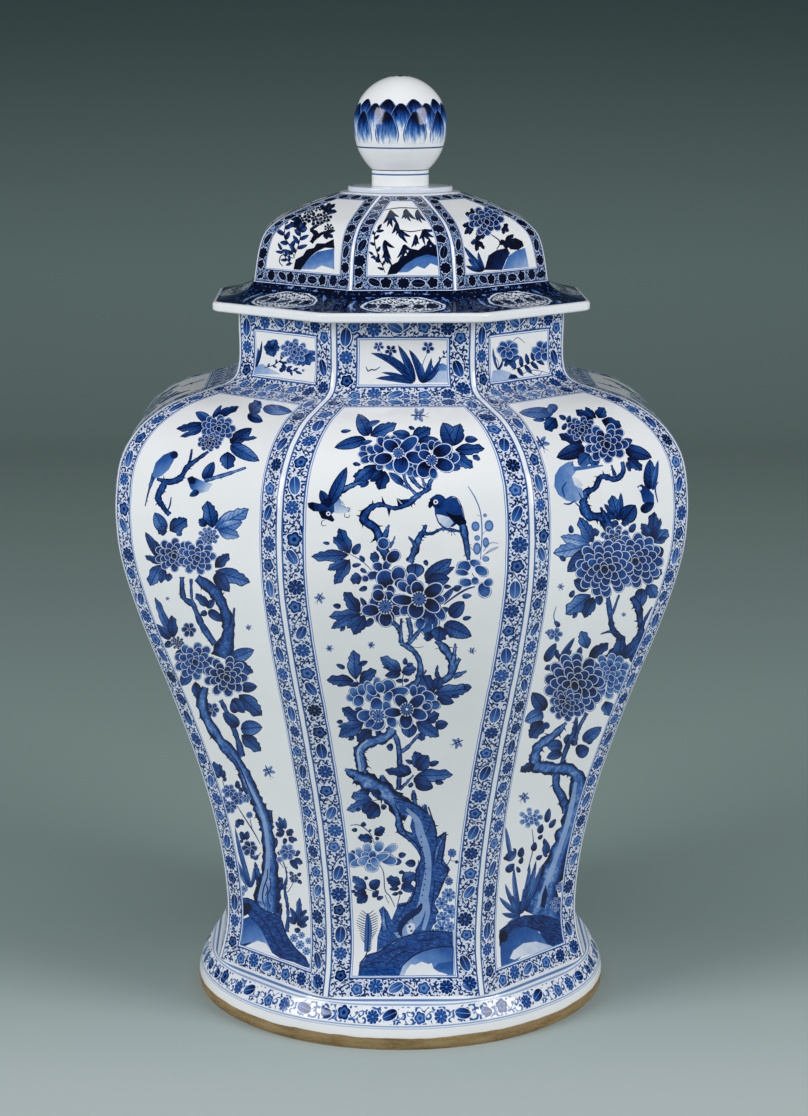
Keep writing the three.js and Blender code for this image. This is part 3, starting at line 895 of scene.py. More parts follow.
def curls(x, y, size, thin=0.35):
    """Ink of spiral curls on a plane measured in millimetres: the sine of angle plus
    distance, which is wound one way or the other by each cell's own random value."""
    tree = x.tree if isinstance(x, Wire) else y.tree
    cells = tree.nodes.new("ShaderNodeTexVoronoi")
    cells.voronoi_dimensions = '2D'
    cells.inputs["Scale"].default_value = 1.0 / size
    cells.inputs["Randomness"].default_value = 0.8
    tree.links.new(joined(x, y).socket, cells.inputs["Vector"])
    place_x, place_y, _ = Wire(tree, cells.outputs["Position"]).parts()
    seed, _, _ = Wire(tree, cells.outputs["Color"]).parts()
    across, up = x - place_x, y - place_y
    angle = up.math('ARCTAN2', across)
    reach = (across * across + up * up).math('SQRT')
    sense = (seed - 0.5).math('SIGN')
    wave = (angle * sense + reach * (CURL_WINDING / size) + seed * 40.0).math('SINE')
    return wave.step(thin, thin * 0.6 + 0.45) * reach.step(1.1 * size, 0.8 * size)


def strip_flower(along, across, step, size, wobble):
    """A row of dark motifs, one in each step: a many-petalled flower, a leaf and a round
    blossom in turn. Gives their ink and a mask that is a little wider."""
    number = (along / step).math('FLOOR')
    scatter = along.tree.nodes.new("ShaderNodeTexWhiteNoise")
    scatter.noise_dimensions = '1D'
    put(along.tree, number + wobble, scatter, "W")
    luck = Wire(along.tree, scatter.outputs["Value"])
    x = along - (number + 0.5) * step + (luck - 0.5) * (0.34 * step)
    y = across - ((luck * 7.0).math('FRACT') - 0.5) * (0.45 * size)
    turn = number.math('WRAP', 3.0, 0.0)
    angle = y.math('ARCTAN2', x)
    reach = (x * x + y * y).math('SQRT') / (size * 0.9 + luck * (size * 0.2))
    lobes = abs((angle * 4.5 + luck * 6.0).math('SINE'))
    aster_edge = lobes * 0.16 + 0.82
    aster = (lobes.step(0.1, 0.5) * 0.45 + 0.5).high(reach.step(0.55, 0.35) * 0.95)
    aster = reach.step(0.22, 0.12).mix(aster, 0.55)
    lobes_five = abs((angle * 2.5 + luck * 5.0).math('SINE'))
    round_edge = lobes_five * 0.2 + 0.7
    blossom = (reach / round_edge).step(0.55, 0.8) * 0.35 + 0.6
    blossom = reach.step(0.3, 0.2).mix(blossom, 0.98)
    lean = (luck - 0.5) * 1.2
    leaf_x, leaf_y = x + y * lean, y - x * lean
    leaf_reach = ((leaf_x * leaf_x) * 0.62 + (leaf_y * leaf_y) * 1.9).math('SQRT') / size
    vein = abs(leaf_y).step(0.25, 0.1)
    leaf = vein.mix(leaf_x.step(-size, size) * 0.3 + 0.68, 0.4)
    is_leaf, is_round = turn.is_near(1.0), turn.is_near(2.0)
    edge = is_round.mix(is_leaf.mix(aster_edge, 0.92), round_edge)
    far = is_leaf.mix(reach, leaf_reach)
    ink = is_round.mix(is_leaf.mix(aster, leaf), blossom)
    inside = (far / edge).step(1.04, 0.94)
    return ink * inside * ((luck * 13.0).math('FRACT') * 0.36 + 0.7), (far / edge).step(1.17, 1.06)


def line_at(distance, place, half):
    """A soft thin line where a distance equals a place."""
    return abs(distance - place).step(half * 1.35, half * 0.65)


def make_frame_group():
    """The frame's ink from one distance, near, to the closest edge of the side. The row of
    flowers is counted up the side along its ribs, and across the side along its ends."""
    group, (panel, length, low, high, size, step, dark), leave = new_group(
        "frame_pattern",
        [("Panel", None), ("Length", 428.0), ("Low", 4.0), ("High", 2.0), ("Size", 1.0),
         ("Step", FLOWER_STEP), ("Dark", 0.0)],
        [("Ink", "NodeSocketFloat"), ("Picture", "NodeSocketFloat")])
    x, y, half = panel.parts()
    tremble = noise(joined(x, y), 0.09, 1.0) - 0.5
    beside = (half - abs(x)) / size
    below, above = (y + low) / size, (length - y + high) / size
    level = below.low(above)
    near = beside.low(level) + tremble * 0.55
    upright = beside.math('LESS_THAN', level)
    along = upright.mix(x + 200.0, y + (x.math('SIGN') * 31.0 + 100.0)) / size
    grow = dark * 0.22 + 1.0
    flowers, halo = strip_flower(along / grow, (near - STRIP_MIDDLE) / grow, step / grow, 4.9,
                                 x.math('SIGN') * 7.0)
    scrolls = curls(x / size, y / size, 3.4, 0.02) * 0.75
    vine = near - STRIP_MIDDLE + (along * (np.pi / FLOWER_STEP)).math('SINE') * 3.4
    scrolls = scrolls.high(line_at(vine, 0.0, 0.34) * 0.72)
    strip = (1.0 - halo) * (scrolls * (1.0 + dark * 0.6) + dark * 0.17 + 0.12)
    strip = strip.high(flowers * (1.0 + dark * 0.7)) * near.step(2.3, 2.5) * near.step(13.9, 13.6)
    lines = (line_at(near, 1.95, 0.52) * 0.6).high(line_at(near, 14.1, 0.5) * 0.64)
    lines = lines.high(line_at(near, 15.5, 0.26) * 0.42)
    put(group, strip.high(lines), leave, "Ink")
    put(group, near.step(15.6, 15.9), leave, "Picture")
    return group


frame_pattern = make_frame_group()

# %% [markdown]
# ## The painter's strokes
# Each stroke cut into the net carries three numbers, its kind, its ink and one extra, and a
# place (s, t) inside itself. From these the group below works out how much cobalt lies at a
# point: a leaf darkens towards its root and has veins, a petal keeps a white rim inside a
# thin outline, a branch is dark at both edges, and a wash runs from one tone to another.

# %% Kinds of stroke
FILL, LEAF, PETAL, ASTER, BRANCH, WASH, ROCK, FEATHER = 1, 2, 3, 4, 5, 6, 7, 8


def make_brush_group():
    """The ink of every kind of stroke, of which the stroke's own kind number picks one."""
    group, (stamp, local, place), leave = new_group(
        "brushwork", [("Stamp", None), ("Local", None), ("Place", None)],
        [("Ink", "NodeSocketFloat")])
    kind, ink, extra = stamp.parts()
    s, t, _ = local.parts()
    pool = noise(place, 160.0, 3.0, 0.6) - 0.5
    fine = noise(place, 620.0, 2.0) - 0.5
    rib = abs(t).step(0.1, 0.03)
    slant = ((s - abs(t) * 0.3) * 7.0).math('FRACT')
    veins = abs(slant - 0.5).step(0.13, 0.05) * abs(t).step(0.9, 0.6)
    root = s.step(0.55, 0.0) * 0.22
    leaf = ink + root + extra * t * 0.14 + rib.high(veins * 0.75) * 0.3 + pool * 0.34
    reach = (s * s + t * t).math('SQRT')
    heart = s.step(0.5, -0.9) * 0.28
    rays = abs((t * 9.0).math('SINE')).step(0.35, 0.9) * 0.07
    petal = reach.step(0.9, 0.78) * (ink + heart - 0.08 + rays + pool * 0.4)
    petal = petal.high(reach.step(0.92, 0.97) * 0.85)
    angle = t.math('ARCTAN2', s)
    lobes = abs((angle * extra * 0.5).math('SINE'))
    outer = lobes * 0.16 + 0.84
    aster = (lobes.step(0.12, 0.5) * 0.5 + 0.32) * ink + pool * 0.2
    aster = reach.step(0.3, 0.2).mix(aster, 0.75) * (reach / outer).step(1.02, 0.95)
    edge = abs(t + pool * 0.5)
    bark = ink + edge.step(0.3, 0.9) * (1.0 - ink) + pool * 0.8 + fine * 0.5
    wash = s.mix(ink, extra) + pool * 0.22
    ridges = noise(joined(s * 0.14 + t * 0.05, t * 0.4 - s * 0.12), 1.3, 4.0, 0.65)
    rock = ink + (ridges - 0.5) * 1.1 + pool * 0.3
    barbs = ((s * 11.0 + abs(t) * 2.0).math('SINE')).step(-0.2, 0.7) * 0.22
    feather = ink + barbs + pool * 0.2
    total = kind.is_near(FILL) * (ink + pool * 0.16)
    for number, tone in ((LEAF, leaf), (PETAL, petal), (ASTER, aster), (BRANCH, bark),
                         (WASH, wash), (ROCK, rock), (FEATHER, feather)):
        total = total + kind.is_near(number) * tone
    put(group, total.high(0.0), leave, "Ink")
    return group


brushwork = make_brush_group()

# %% [markdown]
# ## Cobalt under glaze
# Cobalt painted thin is a grey lavender, and painted thick it is almost black. A colour ramp
# turns an amount of ink into that colour. The glaze on top is clear with a faint blue cast,
# very smooth, and carries a slight unevenness and a few pinholes.

# %% The cobalt ramp
def srgb(red, green, blue):
    """A colour as written in a paint program, made linear for the shader."""
    value = np.array([red, green, blue]) / 255.0
    linear = np.where(value <= 0.04045, value / 12.92, ((value + 0.055) / 1.055) ** 2.4)
    return (*linear.tolist(), 1.0)


def colour_ramp(tree, stops):
    """A ramp through stops of place and colour; the first lies at 0 and the last at 1."""
    node = tree.nodes.new("ShaderNodeValToRGB")
    elements = node.color_ramp.elements
    elements[0].color, elements[1].color = stops[0][1], stops[-1][1]
    for spot, colour in stops[1:-1]:
        elements.new(spot).color = colour
    return node


def make_cobalt_group():
    """Ink times depth, made cloudy and grainy, becomes a colour; the glaze adds its specks."""
    group, (ink, place, depth), leave = new_group(
        "cobalt_under_glaze", [("Ink", 0.0), ("Place", None), ("Depth", 1.0)],
        [("Color", "NodeSocketColor"), ("Roughness", "NodeSocketFloat"),
         ("Height", "NodeSocketFloat")])
    cloud = noise(place, 38.0, 3.0) - 0.5
    grain = noise(place, 900.0, 2.0) - 0.5
    amount = ink * depth * (cloud * 0.22 + grain * 0.18 + 1.0)
    stops = [(0.0, (232, 233, 234)), (0.12, (208, 215, 227)), (0.28, (152, 176, 212)),
             (0.45, (84, 125, 185)), (0.62, (34, 83, 152)), (0.78, (14, 54, 121)),
             (0.92, (6, 29, 80)), (1.0, (2, 9, 32))]
    ramp = colour_ramp(group, [(spot, srgb(*colour)) for spot, colour in stops])
    put(group, amount, ramp, "Fac")
    specks = group.nodes.new("ShaderNodeTexVoronoi")
    specks.inputs["Scale"].default_value = 70.0
    put(group, place, specks, "Vector")
    near_speck = Wire(group, specks.outputs["Distance"]).step(0.045, 0.02)
    rare = Wire(group, specks.outputs["Color"]).parts()[0].over(0.9)
    tint = group.nodes.new("ShaderNodeMix")
    tint.data_type, tint.blend_type = 'RGBA', 'MULTIPLY'
    put(group, (near_speck * rare * 0.35) + (cloud + 0.5) * 0.18, tint, "Factor")
    group.links.new(ramp.outputs["Color"], tint.inputs[6])
    tint.inputs[7].default_value = srgb(196, 208, 214)
    group.links.new(tint.outputs[2], leave.inputs["Color"])
    put(group, cloud * 0.05 + grain * 0.03 + 0.11 + near_speck * rare * 0.3, leave, "Roughness")
    put(group, noise(place, 26.0, 1.0) * 0.7 + noise(place, 190.0, 2.0) * 0.04
        - near_speck * rare * 0.06, leave, "Height")
    return group


cobalt = make_cobalt_group()
print("node groups:", [group.name for group in bpy.data.node_groups])

# %% [markdown]
# ## Marks of the brush
# The painter used few marks: leaf, petal, branch, dot, thin line and flat shape. Each
# function below gives one of them as polygons in pixels of the photograph, each with its
# own (s, t) coordinates. Afterwards the camera's rule carries every corner onto the jar's
# side, so a mark lands where the photograph shows it.

# %% Marks as polygons
class Sketch:
    """Marks typed over an enlarged part of the photograph: a typed point is the corner of
    that part plus its own value divided by the enlargement."""

    def __init__(self, corner=(0, 0), enlarged=1.0, seed=1):
        self.corner, self.enlarged = np.asarray(corner, float), enlarged
        self.marks = []
        self.luck = np.random.default_rng(seed)

    def view(self, corner, enlarged):
        """Goes on to another enlarged part of the photograph."""
        self.corner, self.enlarged = np.asarray(corner, float), enlarged

    def at(self, points):
        """Pixels of the photograph for typed points."""
        return self.corner + np.asarray(points, float) / self.enlarged

    def put(self, points, local, kind, ink, extra=0.0):
        """Keeps one polygon; its points are already in pixels of the photograph."""
        self.marks.append((np.asarray(points, float), np.asarray(local, float), (kind, ink, extra)))

    def shape(self, points, ink, kind=FILL, extra=0.0, axis=None):
        """A free shape. s runs from 0 to 1 along its axis, t across it."""
        spots = self.at(points)
        start, end = self.at(axis) if axis is not None else (spots.min(0), spots.max(0))
        along = end - start
        size = max(float(along @ along), 1e-6)
        s = (spots - start) @ along / size
        t = (spots - start) @ np.array([-along[1], along[0]]) / size
        if kind == ROCK:
            s, t = spots[:, 0], spots[:, 1]
        self.put(spots, np.stack([s, t], 1), kind, ink, extra)

    def leaf(self, base, tip, width, ink=0.68, cut=None, bend=0.0):
        """A leaf: dark outline, then the wash a little smaller. The half width grows with
        the root of s and then runs to a point; cut leaves have notches near the tip."""
        root, end = self.at([base, tip])
        axis = end - root
        size = np.hypot(*axis)
        side = np.array([-axis[1], axis[0]]) / size
        cut = self.luck.random() < 0.6 if cut is None else cut
        if cut:
            s = np.array([0, .1, .25, .42, .56, .64, .76, .82, .9, 1.0])
            half = np.array([.03, .42, .82, 1, .97, .72, .78, .5, .42, 0])
            other = np.array([.03, .4, .85, 1, .8, .74, .84, .8, .4, 0])
            if self.luck.random() < 0.5:
                half, other = other, half
        else:
            s = np.array([0, .06, .15, .28, .42, .58, .74, .88, 1.0])
            half = other = s ** 0.5 * (1 - s) ** 0.75 / 0.43
        wide = width / self.enlarged / 2
        for shrink, kind, tone in ((1.0, FILL, min(ink + 0.25, 0.98)), (0.84, LEAF, ink * 0.86)):
            inner = 0.5 + (s - 0.5) * (1 - (1 - shrink) * 0.45)
            t = np.concatenate([half, -other[-2:0:-1]]) * shrink
            along = np.concatenate([inner, inner[-2:0:-1]])
            bow = 4 * along * (1 - along) * bend / self.enlarged
            points = root + along[:, None] * axis + (t * wide + bow)[:, None] * side
            self.put(points, np.stack([along, t], 1), kind, tone,
                     1.0 if self.luck.random() < 0.5 else -1.0)

    def foliage(self, rows):
        """Leaves, each typed as base, tip, width, ink and, if it is settled, cut or whole."""
        for row in rows:
            self.leaf(*row)

    def petal(self, centre, angle, length, width, ink=0.8):
        """A petal: an egg whose s axis points away from the flower's heart."""
        middle = self.at([centre])[0]
        turn = np.linspace(0, 2 * np.pi, 16, endpoint=False)
        length, width = length * 1.28, width * 1.28
        s, t = np.cos(turn), np.sin(turn) * (1 + 0.16 * np.cos(turn))
        axis = np.array([np.cos(angle), np.sin(angle)])
        side = np.array([-axis[1], axis[0]])
        points = (middle + np.outer(s * length / 2 / self.enlarged, axis)
                  + np.outer(t * width / 2 / self.enlarged, side))
        self.put(points, np.stack([np.cos(turn), np.sin(turn)], 1), PETAL, ink)

    def petals(self, rows):
        """Petals, each typed as x, y, angle in degrees, length, width and ink."""
        for x, y, angle, length, width, ink in rows:
            self.petal((x, y), np.radians(angle), length, width, ink)

    def bloom(self, centre, reach, count, size, ink=0.8, flat=1.0, turn=0.0, heart=True):
        """Petals round a heart; flat below 1 squashes the ring as on a tilted flower."""
        order = np.argsort(np.cos(np.arange(count) * 2 * np.pi / count + turn - np.pi / 2))
        for number in order:
            angle = number * 2 * np.pi / count + turn + self.luck.uniform(-0.1, 0.1)
            spot = np.array(centre) + reach * np.array([np.cos(angle), np.sin(angle) * flat])
            lean = np.arctan2(np.sin(angle) * flat, np.cos(angle))
            self.petal(spot, lean, size * (0.8 + 0.2 * flat) * self.luck.uniform(0.94, 1.08),
                       size * 0.8, ink + self.luck.uniform(-0.05, 0.06))
        if heart:
            self.aster(centre, reach * 0.42, 12, 0.85)

    def peony(self, centre, radius, ink=0.8, flat=0.9,
              rings=((9, .74), (8, .52), (6, .3), (3, .1))):
        """A full flower: rings of petals, the outer ones first, each ring turned a little more."""
        for turn, (count, share) in enumerate(rings):
            self.bloom(centre, radius * share, count, radius * (.3 + share * .16), ink + turn * .03, flat,
                       turn * 0.35, heart=False)

    def tuft(self, root, tips, width, ink=0.7, bend=0.0, cut=False):
        """Blades or leaves that spring from one root."""
        for tip in tips:
            side = 1 if tip[0] > root[0] else -1
            self.leaf(root, tip, width * self.luck.uniform(.85, 1.15),
                      ink + self.luck.uniform(-.05, .05), cut, bend * side)

    def twig(self, points, leaf, ink=0.8, width=6, count=7, spread=0.9):
        """A thin stem with leaves on alternate sides."""
        self.line(points, width, ink)
        path = smooth(points, count + 2)
        heading = np.gradient(path, axis=0)
        turn = np.arctan2(heading[:, 1], heading[:, 0])
        for number in range(1, count + 2):
            lean = turn[number] + spread * (-1) ** number * (number <= count)
            tip = path[number] + leaf * self.luck.uniform(.8, 1.2) * np.array([np.cos(lean), np.sin(lean)])
            self.leaf(path[number], tip, leaf * 0.46, ink, False)

    def aster(self, centre, radius, count=9, ink=0.85, stretch=1.0):
        """A small round flower: one disc, whose petals the shader draws from its angle."""
        turn = np.linspace(0, 2 * np.pi, 14, endpoint=False)
        unit = np.stack([np.cos(turn), np.sin(turn)], 1)
        points = self.at([centre])[0] + unit * radius / self.enlarged * [1, stretch]
        self.put(points, unit * 1.02, ASTER, ink, count)

    def dot(self, centre, radius, ink=0.8, stretch=1.0, angle=0.0):
        """A disc or, where it is stretched, an oval turned by the angle."""
        turn = np.linspace(0, 2 * np.pi, 9, endpoint=False)
        unit = np.stack([np.cos(turn), np.sin(turn) * stretch], 1)
        spin = np.array([[np.cos(angle), np.sin(angle)], [-np.sin(angle), np.cos(angle)]])
        points = self.at([centre])[0] + (unit * radius / self.enlarged) @ spin
        self.put(points, unit, FILL, ink)

    def bud(self, spot, size, ink=0.85):
        """A small pointed leaf that leans either way."""
        lean = self.luck.uniform(-1.2, 1.2)
        reach = size * 1.25 * np.array([np.sin(lean), -np.cos(lean)])
        self.leaf(np.array(spot) - reach, np.array(spot) + reach, size * 1.6, ink, False)

    def branch(self, points, widths, ink=0.62, spurs=None, kind=BRANCH, steps=5):
        """A tapering stroke through the points: four corners for each step, s counts its
        length and t runs from -1 to 1 across it. It swells and narrows like knotty wood, and
        spurs are short thorns on both edges."""
        count = (len(points) - 1) * steps + 1
        path = smooth(np.column_stack([self.at(points), np.asarray(widths, float) / self.enlarged]), count)
        middle, wide = path[:, :2], path[:, 2] / 2
        heading = np.gradient(middle, axis=0)
        heading /= np.maximum(np.hypot(*heading.T)[:, None], 1e-9)
        side = np.stack([-heading[:, 1], heading[:, 0]], 1)
        if kind == BRANCH:
            wide = wide * self.luck.uniform(0.78, 1.24, count)
            ink = ink * 0.86
            if spurs is None:
                spurs = float(np.clip(np.mean(widths) * 0.6, 7, 18))
        length = np.concatenate([[0], np.cumsum(np.hypot(*np.diff(middle, axis=0).T))])
        left, right = middle + side * wide[:, None], middle - side * wide[:, None]
        if spurs:
            for number in range(2, count - 2, max(int(round(steps * 0.5)), 1)):
                if self.luck.random() < 0.7:
                    sign = self.luck.choice([-1.0, 1.0])
                    root = middle[number] + sign * side[number] * wide[number] * 0.6
                    away = sign * side[number] + heading[number] * self.luck.uniform(-0.7, 0.9)
                    reach = spurs / self.enlarged * self.luck.uniform(0.5, 1.25)
                    half = heading[number] * reach * 0.28
                    self.put([root - half, root + half, root + away * reach],
                             [(0, .8), (1, .8), (.5, 1)], FILL, 0.93)
        if kind == FILL:
            outline = np.concatenate([left, right[::-1]])
            self.put(outline, outline, kind, ink)
            return
        for number in range(count - 1):
            corners = left[number], right[number], right[number + 1], left[number + 1]
            low, high = length[number], length[number + 1]
            self.put(corners, [(low, 1), (low, -1), (high, -1), (high, 1)], kind, ink)

    def line(self, points, width=1.5, ink=0.8, steps=4):
        """A thin stroke that swells a little in the middle."""
        widths = np.full(len(points), float(width))
        widths[[0, -1]] *= 0.6
        self.branch(points, widths, ink, 0, FILL, steps)

    def lines(self, paths, width, ink):
        """Thin strokes of one width and one ink."""
        for path in paths:
            self.line(path, width, ink)

    def insect(self, centre, size, angle=0.0, ink=0.85):
        """Body, two pairs of wings and feelers."""
        spin = np.array([[np.cos(angle), np.sin(angle)], [-np.sin(angle), np.cos(angle)]])

        def spot(points):
            return np.asarray(centre) + np.asarray(points, float) @ spin * size

        for wing, tip in (((.1, -.1), (.5, -.75)), ((-.1, -.1), (-.35, -.7)), ((.1, .1), (.5, .6)),
                          ((-.1, .1), (-.3, .55))):
            root, end = spot([wing, tip])
            self.leaf(root, end, size * 0.42, 0.45, cut=False)
        self.line(spot([(-.75, .05), (0, 0), (.7, -.05)]), size * 0.2, ink)
        self.line(spot([(.6, 0), (1.0, -.35)]), size * 0.07, ink, 2)
        self.line(spot([(.6, 0), (1.05, .1)]), size * 0.07, ink, 2)

    def on(self, section, side):
        """The marks carried onto a side: polygons in millimetres there."""
        corners = from_photo(section, side, np.concatenate([points for points, _, _ in self.marks]))
        corners[:, 1] = corners[:, 1].clip(2, section.length - 2)
        room = section.half_width(side, corners[:, 1]) - 3
        corners[:, 0] = corners[:, 0].clip(-room, room)
        ends = np.cumsum([len(points) for points, _, _ in self.marks])[:-1]
        return [(part, local, mark) for part, (_, local, mark)
                in zip(np.split(corners, ends), self.marks)]

# %% [markdown]
# ## Glazes for each piece
# All painted pieces share the ramp and the glaze, and differ in the border that the shader
# draws and in the strokes cut into their nets. Each material is therefore a short tree:
# panel and stroke data go in, ink comes out, and the shader itself stays in the material.

# %% Clay where the glaze stops
def make_clay_group():
    """Fine grain and wide clouds of noise, drawn out along the turning of the wheel."""
    group, (place,), leave = new_group(
        "clay_grain", [("Place", None)],
        [("Tone", "NodeSocketFloat"), ("Roughness", "NodeSocketFloat"), ("Height", "NodeSocketFloat")])
    x, y, z = place.parts()
    layers = joined(x, y, z * 5.0)
    grain, cloud = noise(layers, 420.0, 5.0, 0.75), noise(layers, 40.0, 4.0, 0.65)
    put(group, cloud * 1.1 + grain - 0.6, leave, "Tone")
    put(group, grain * 0.2 + 0.62, leave, "Roughness")
    put(group, grain + cloud * 0.8, leave, "Height")
    return group


def toned(tree, tone, pale, dark, stain):
    """The colour socket of a ramp from a dark tone over a stained one to a pale one."""
    ramp = colour_ramp(tree, [(0, srgb(*dark)), (0.35, srgb(*stain)), (1, srgb(*pale))])
    put(tree, tone, ramp, "Fac")
    return ramp.outputs["Color"]


clay_grain = make_clay_group()
FOOT_CLAY = (184, 162, 120), (58, 44, 28), (132, 108, 68)
PALE_CLAY = (226, 216, 198), (176, 140, 100), (208, 188, 160)

# %% [markdown]
# ## One glaze, many paintings
# A painter covers every piece with the same glaze, so one function makes all of its
# materials and is handed another function that says where the ink lies. A border follows
# the panel data, and rings on turned pieces follow the place in space.

# %% Materials
def attribute(tree, title):
    """A wire from paint data that the mesh carries at its corners."""
    node = tree.nodes.new("ShaderNodeAttribute")
    node.attribute_name = title
    return Wire(tree, node.outputs["Vector"])


def new_material(name):
    """A material with its node tree, its shader and a wire of places in the object."""
    material = bpy.data.materials.new(name)
    material.use_nodes = True
    tree = material.node_tree
    place = Wire(tree, tree.nodes.new("ShaderNodeTexCoord").outputs["Object"])
    return material, tree, tree.nodes["Principled BSDF"], place


def relief(tree, height, shader, strength, distance):
    """Tilts the shader's normal by the slopes of a height."""
    bump = tree.nodes.new("ShaderNodeBump")
    bump.inputs["Strength"].default_value = strength
    bump.inputs["Distance"].default_value = distance
    put(tree, height, bump, "Height")
    tree.links.new(bump.outputs["Normal"], shader.inputs["Normal"])


def use(tree, group, **given):
    """Places a group; wires are linked and numbers are set. Gives its outputs by name."""
    node = tree.nodes.new("ShaderNodeGroup")
    node.node_tree = group
    for title, value in given.items():
        if isinstance(value, Wire):
            tree.links.new(value.socket, node.inputs[title])
        else:
            node.inputs[title].default_value = value
    return {out.name: Wire(tree, out) for out in node.outputs}


def glazed(name, paint, depth=1.0, worn=None, shine=0.38):
    """A glazed material; paint(tree, panel, place) gives the wire of ink. Where worn is given,
    the glaze stops at its mask and the clay below shows, as on a foot ring."""
    material, tree, shader, place = new_material(name)
    ink = paint(tree, attribute(tree, "panel"), place)
    look = use(tree, cobalt, Ink=ink, Place=place, Depth=depth)
    colour, rough, height = look["Color"], look["Roughness"], look["Height"]
    if worn:
        mask, body = worn(place), use(tree, clay_grain, Place=place)
        blend = tree.nodes.new("ShaderNodeMix")
        blend.data_type = 'RGBA'
        put(tree, mask, blend, "Factor")
        tree.links.new(colour.socket, blend.inputs[6])
        tree.links.new(toned(tree, body["Tone"], *FOOT_CLAY), blend.inputs[7])
        colour = Wire(tree, blend.outputs[2])
        rough, height = mask.mix(rough, body["Roughness"]), mask.mix(height, body["Height"] * 3.0)
    put(tree, colour, shader, "Base Color")
    put(tree, rough, shader, "Roughness")
    relief(tree, height, shader, 0.22, 0.0006)
    shader.inputs["Specular IOR Level"].default_value = shine
    shader.inputs["Coat Weight"].default_value = 0.05
    shader.inputs["Coat Roughness"].default_value = 0.04
    return material


def framed_picture(**frame):
    """The darker of two inks: the frame's, and the strokes' inside the frame."""
    def paint(tree, panel, place):
        border = use(tree, frame_pattern, Panel=panel, **frame)
        strokes = use(tree, brushwork, Stamp=attribute(tree, "stamp"),
                      Local=attribute(tree, "local"), Place=place)
        return border["Ink"].high(border["Picture"] * strokes["Ink"])
    return paint


def bare(tree, panel, place):
    """No cobalt, only the glaze's own faint clouds."""
    return noise(place, 22.0, 2.0) * 0.03

# %% Ink of the flange, the foot and the knob
LENS_MIDDLE, FOOT_BAND = 13.0, 21.0
PETALS, PETAL_SHIFT, CROWN = 10.0, 2.5, 595.0


def flange_paint(tree, panel, place):
    """Black-blue ground with reserved scrolls, and a lens-shaped field in the middle of each
    side that holds flowers on white."""
    x, y, _ = panel.parts()
    wander = noise(panel, 0.25, 2.0) - 0.5
    ground = 1.25 - curls(x, y, 4.6, 0.7) * 0.62 - curls(x + 40.0, y + 9.0, 2.6, 0.72) * 0.3
    flowers, halo = strip_flower(x + 100.0, y - LENS_MIDDLE, 9.5, 4.4, x.math('SIGN') * 3.0)
    field = ((x * x) / 560.0 + ((y - LENS_MIDDLE) * (y - LENS_MIDDLE)) / 110.0).math('SQRT') + wander * 0.14
    inner = (curls(x, y, 3.0, 0.1) * (1.0 - halo)).high(flowers * 1.5) + 0.06
    lens = field.step(1.0, 0.96)
    ink = lens.mix(ground, inner)
    ink = ink * (1.0 - line_at(field, 1.05, 0.05) * 0.9)
    ink = ink.high(line_at(field, 0.97, 0.02) * 0.9)
    leaves = line_at(field, 1.35, 0.07) * (x * 0.55).math('SINE').step(-0.3, 0.6)
    ink = ink * (1.0 - leaves * 0.7)
    ink = ink.high(line_at(y, 24.6, 0.9) * 0.95)
    return ink * y.step(1.2, 2.0)


def foot_paint(tree, panel, place):
    """Soft blue rings and a scroll band round the spread of the foot."""
    x, _, half = panel.parts()
    _, _, z = place.parts()
    height = z * 1000.0 + (noise(place, 9.0, 1.0) - 0.5) * 1.1
    along = x / half * 52.5 + 300.0
    flowers, halo = strip_flower(along, height - FOOT_BAND, 15.0, 4.6, x * 0.0)
    vine = (along * 0.42).math('SINE') * 2.2
    stem = line_at(height - FOOT_BAND - vine, 0.0, 0.32) * 0.6
    band = abs(height - FOOT_BAND).step(5.0, 4.3)
    leaves = curls(along, height, 5.2) * 0.6 * band
    ink = (leaves.high(stem * band) * (1.0 - halo)).high(flowers)
    rings = (line_at(height, 15.2, 0.4) * 0.34).high(line_at(height, 13.9, 0.4) * 0.2)
    rings = rings.high(line_at(height, 28.4, 0.5) * 0.44).high(line_at(height, 26.6, 0.4) * 0.3)
    return ink.high(rings)


def knob_paint(tree, panel, place):
    """Three rows of lotus petals, each dark at its tip and fading down in streaks."""
    x, y, z = place.parts()
    height = z * 1000.0
    turns = y.math('ARCTAN2', x) * (PETALS / (2 * np.pi)) + PETALS + PETAL_SHIFT
    streak = noise(joined(turns * 9.0, height * 0.12), 1.0, 2.0)
    ink = height * 0.0
    for base, tip, wide, shift in ((571.0, 586.0, 0.46, 0.0), (566.0, 583.5, 0.46, 0.5),
                                   (558.0, 578.5, 0.44, 0.0)):
        cell = (turns + shift).math('FRACT') - 0.5
        rise = (height - base) / (tip - base)
        room = (1.0 - rise.high(0.0).math('POWER', 2.3)).high(0.001).math('POWER', 0.62)
        edge = abs(cell) / (room * rise.step(-0.1, 0.35, wide, wide * 0.8))
        inside = edge.step(1.06, 0.98) * rise.step(1.0, 0.97)
        shade = rise.step(-0.12, 0.9) * 1.02 + (streak - 0.5) * 1.3 * rise.step(1.0, 0.4)
        rim = edge.step(0.9, 0.97) * 0.8 * rise.step(-0.02, 0.2)
        pale = edge.step(0.94, 0.86)
        petal = (shade.high(0.0) * pale).high(rim)
        ink = (inside * rise.over(0.0)).mix(ink, petal)
    ink = ink.high(line_at(height, 555.6, 0.42) * 0.78)
    ink = ink.high(line_at(height, 541.2, 0.3) * 0.9)
    top = (x * x + y * y).math('SQRT') * 1000.0
    rosette = abs((y.math('ARCTAN2', x) * 3.0).math('SINE')) * 2.5 + 3.6
    crown = (top / rosette).step(1.05, 0.9) * 0.95 * height.over(CROWN)
    return ink.high(crown)


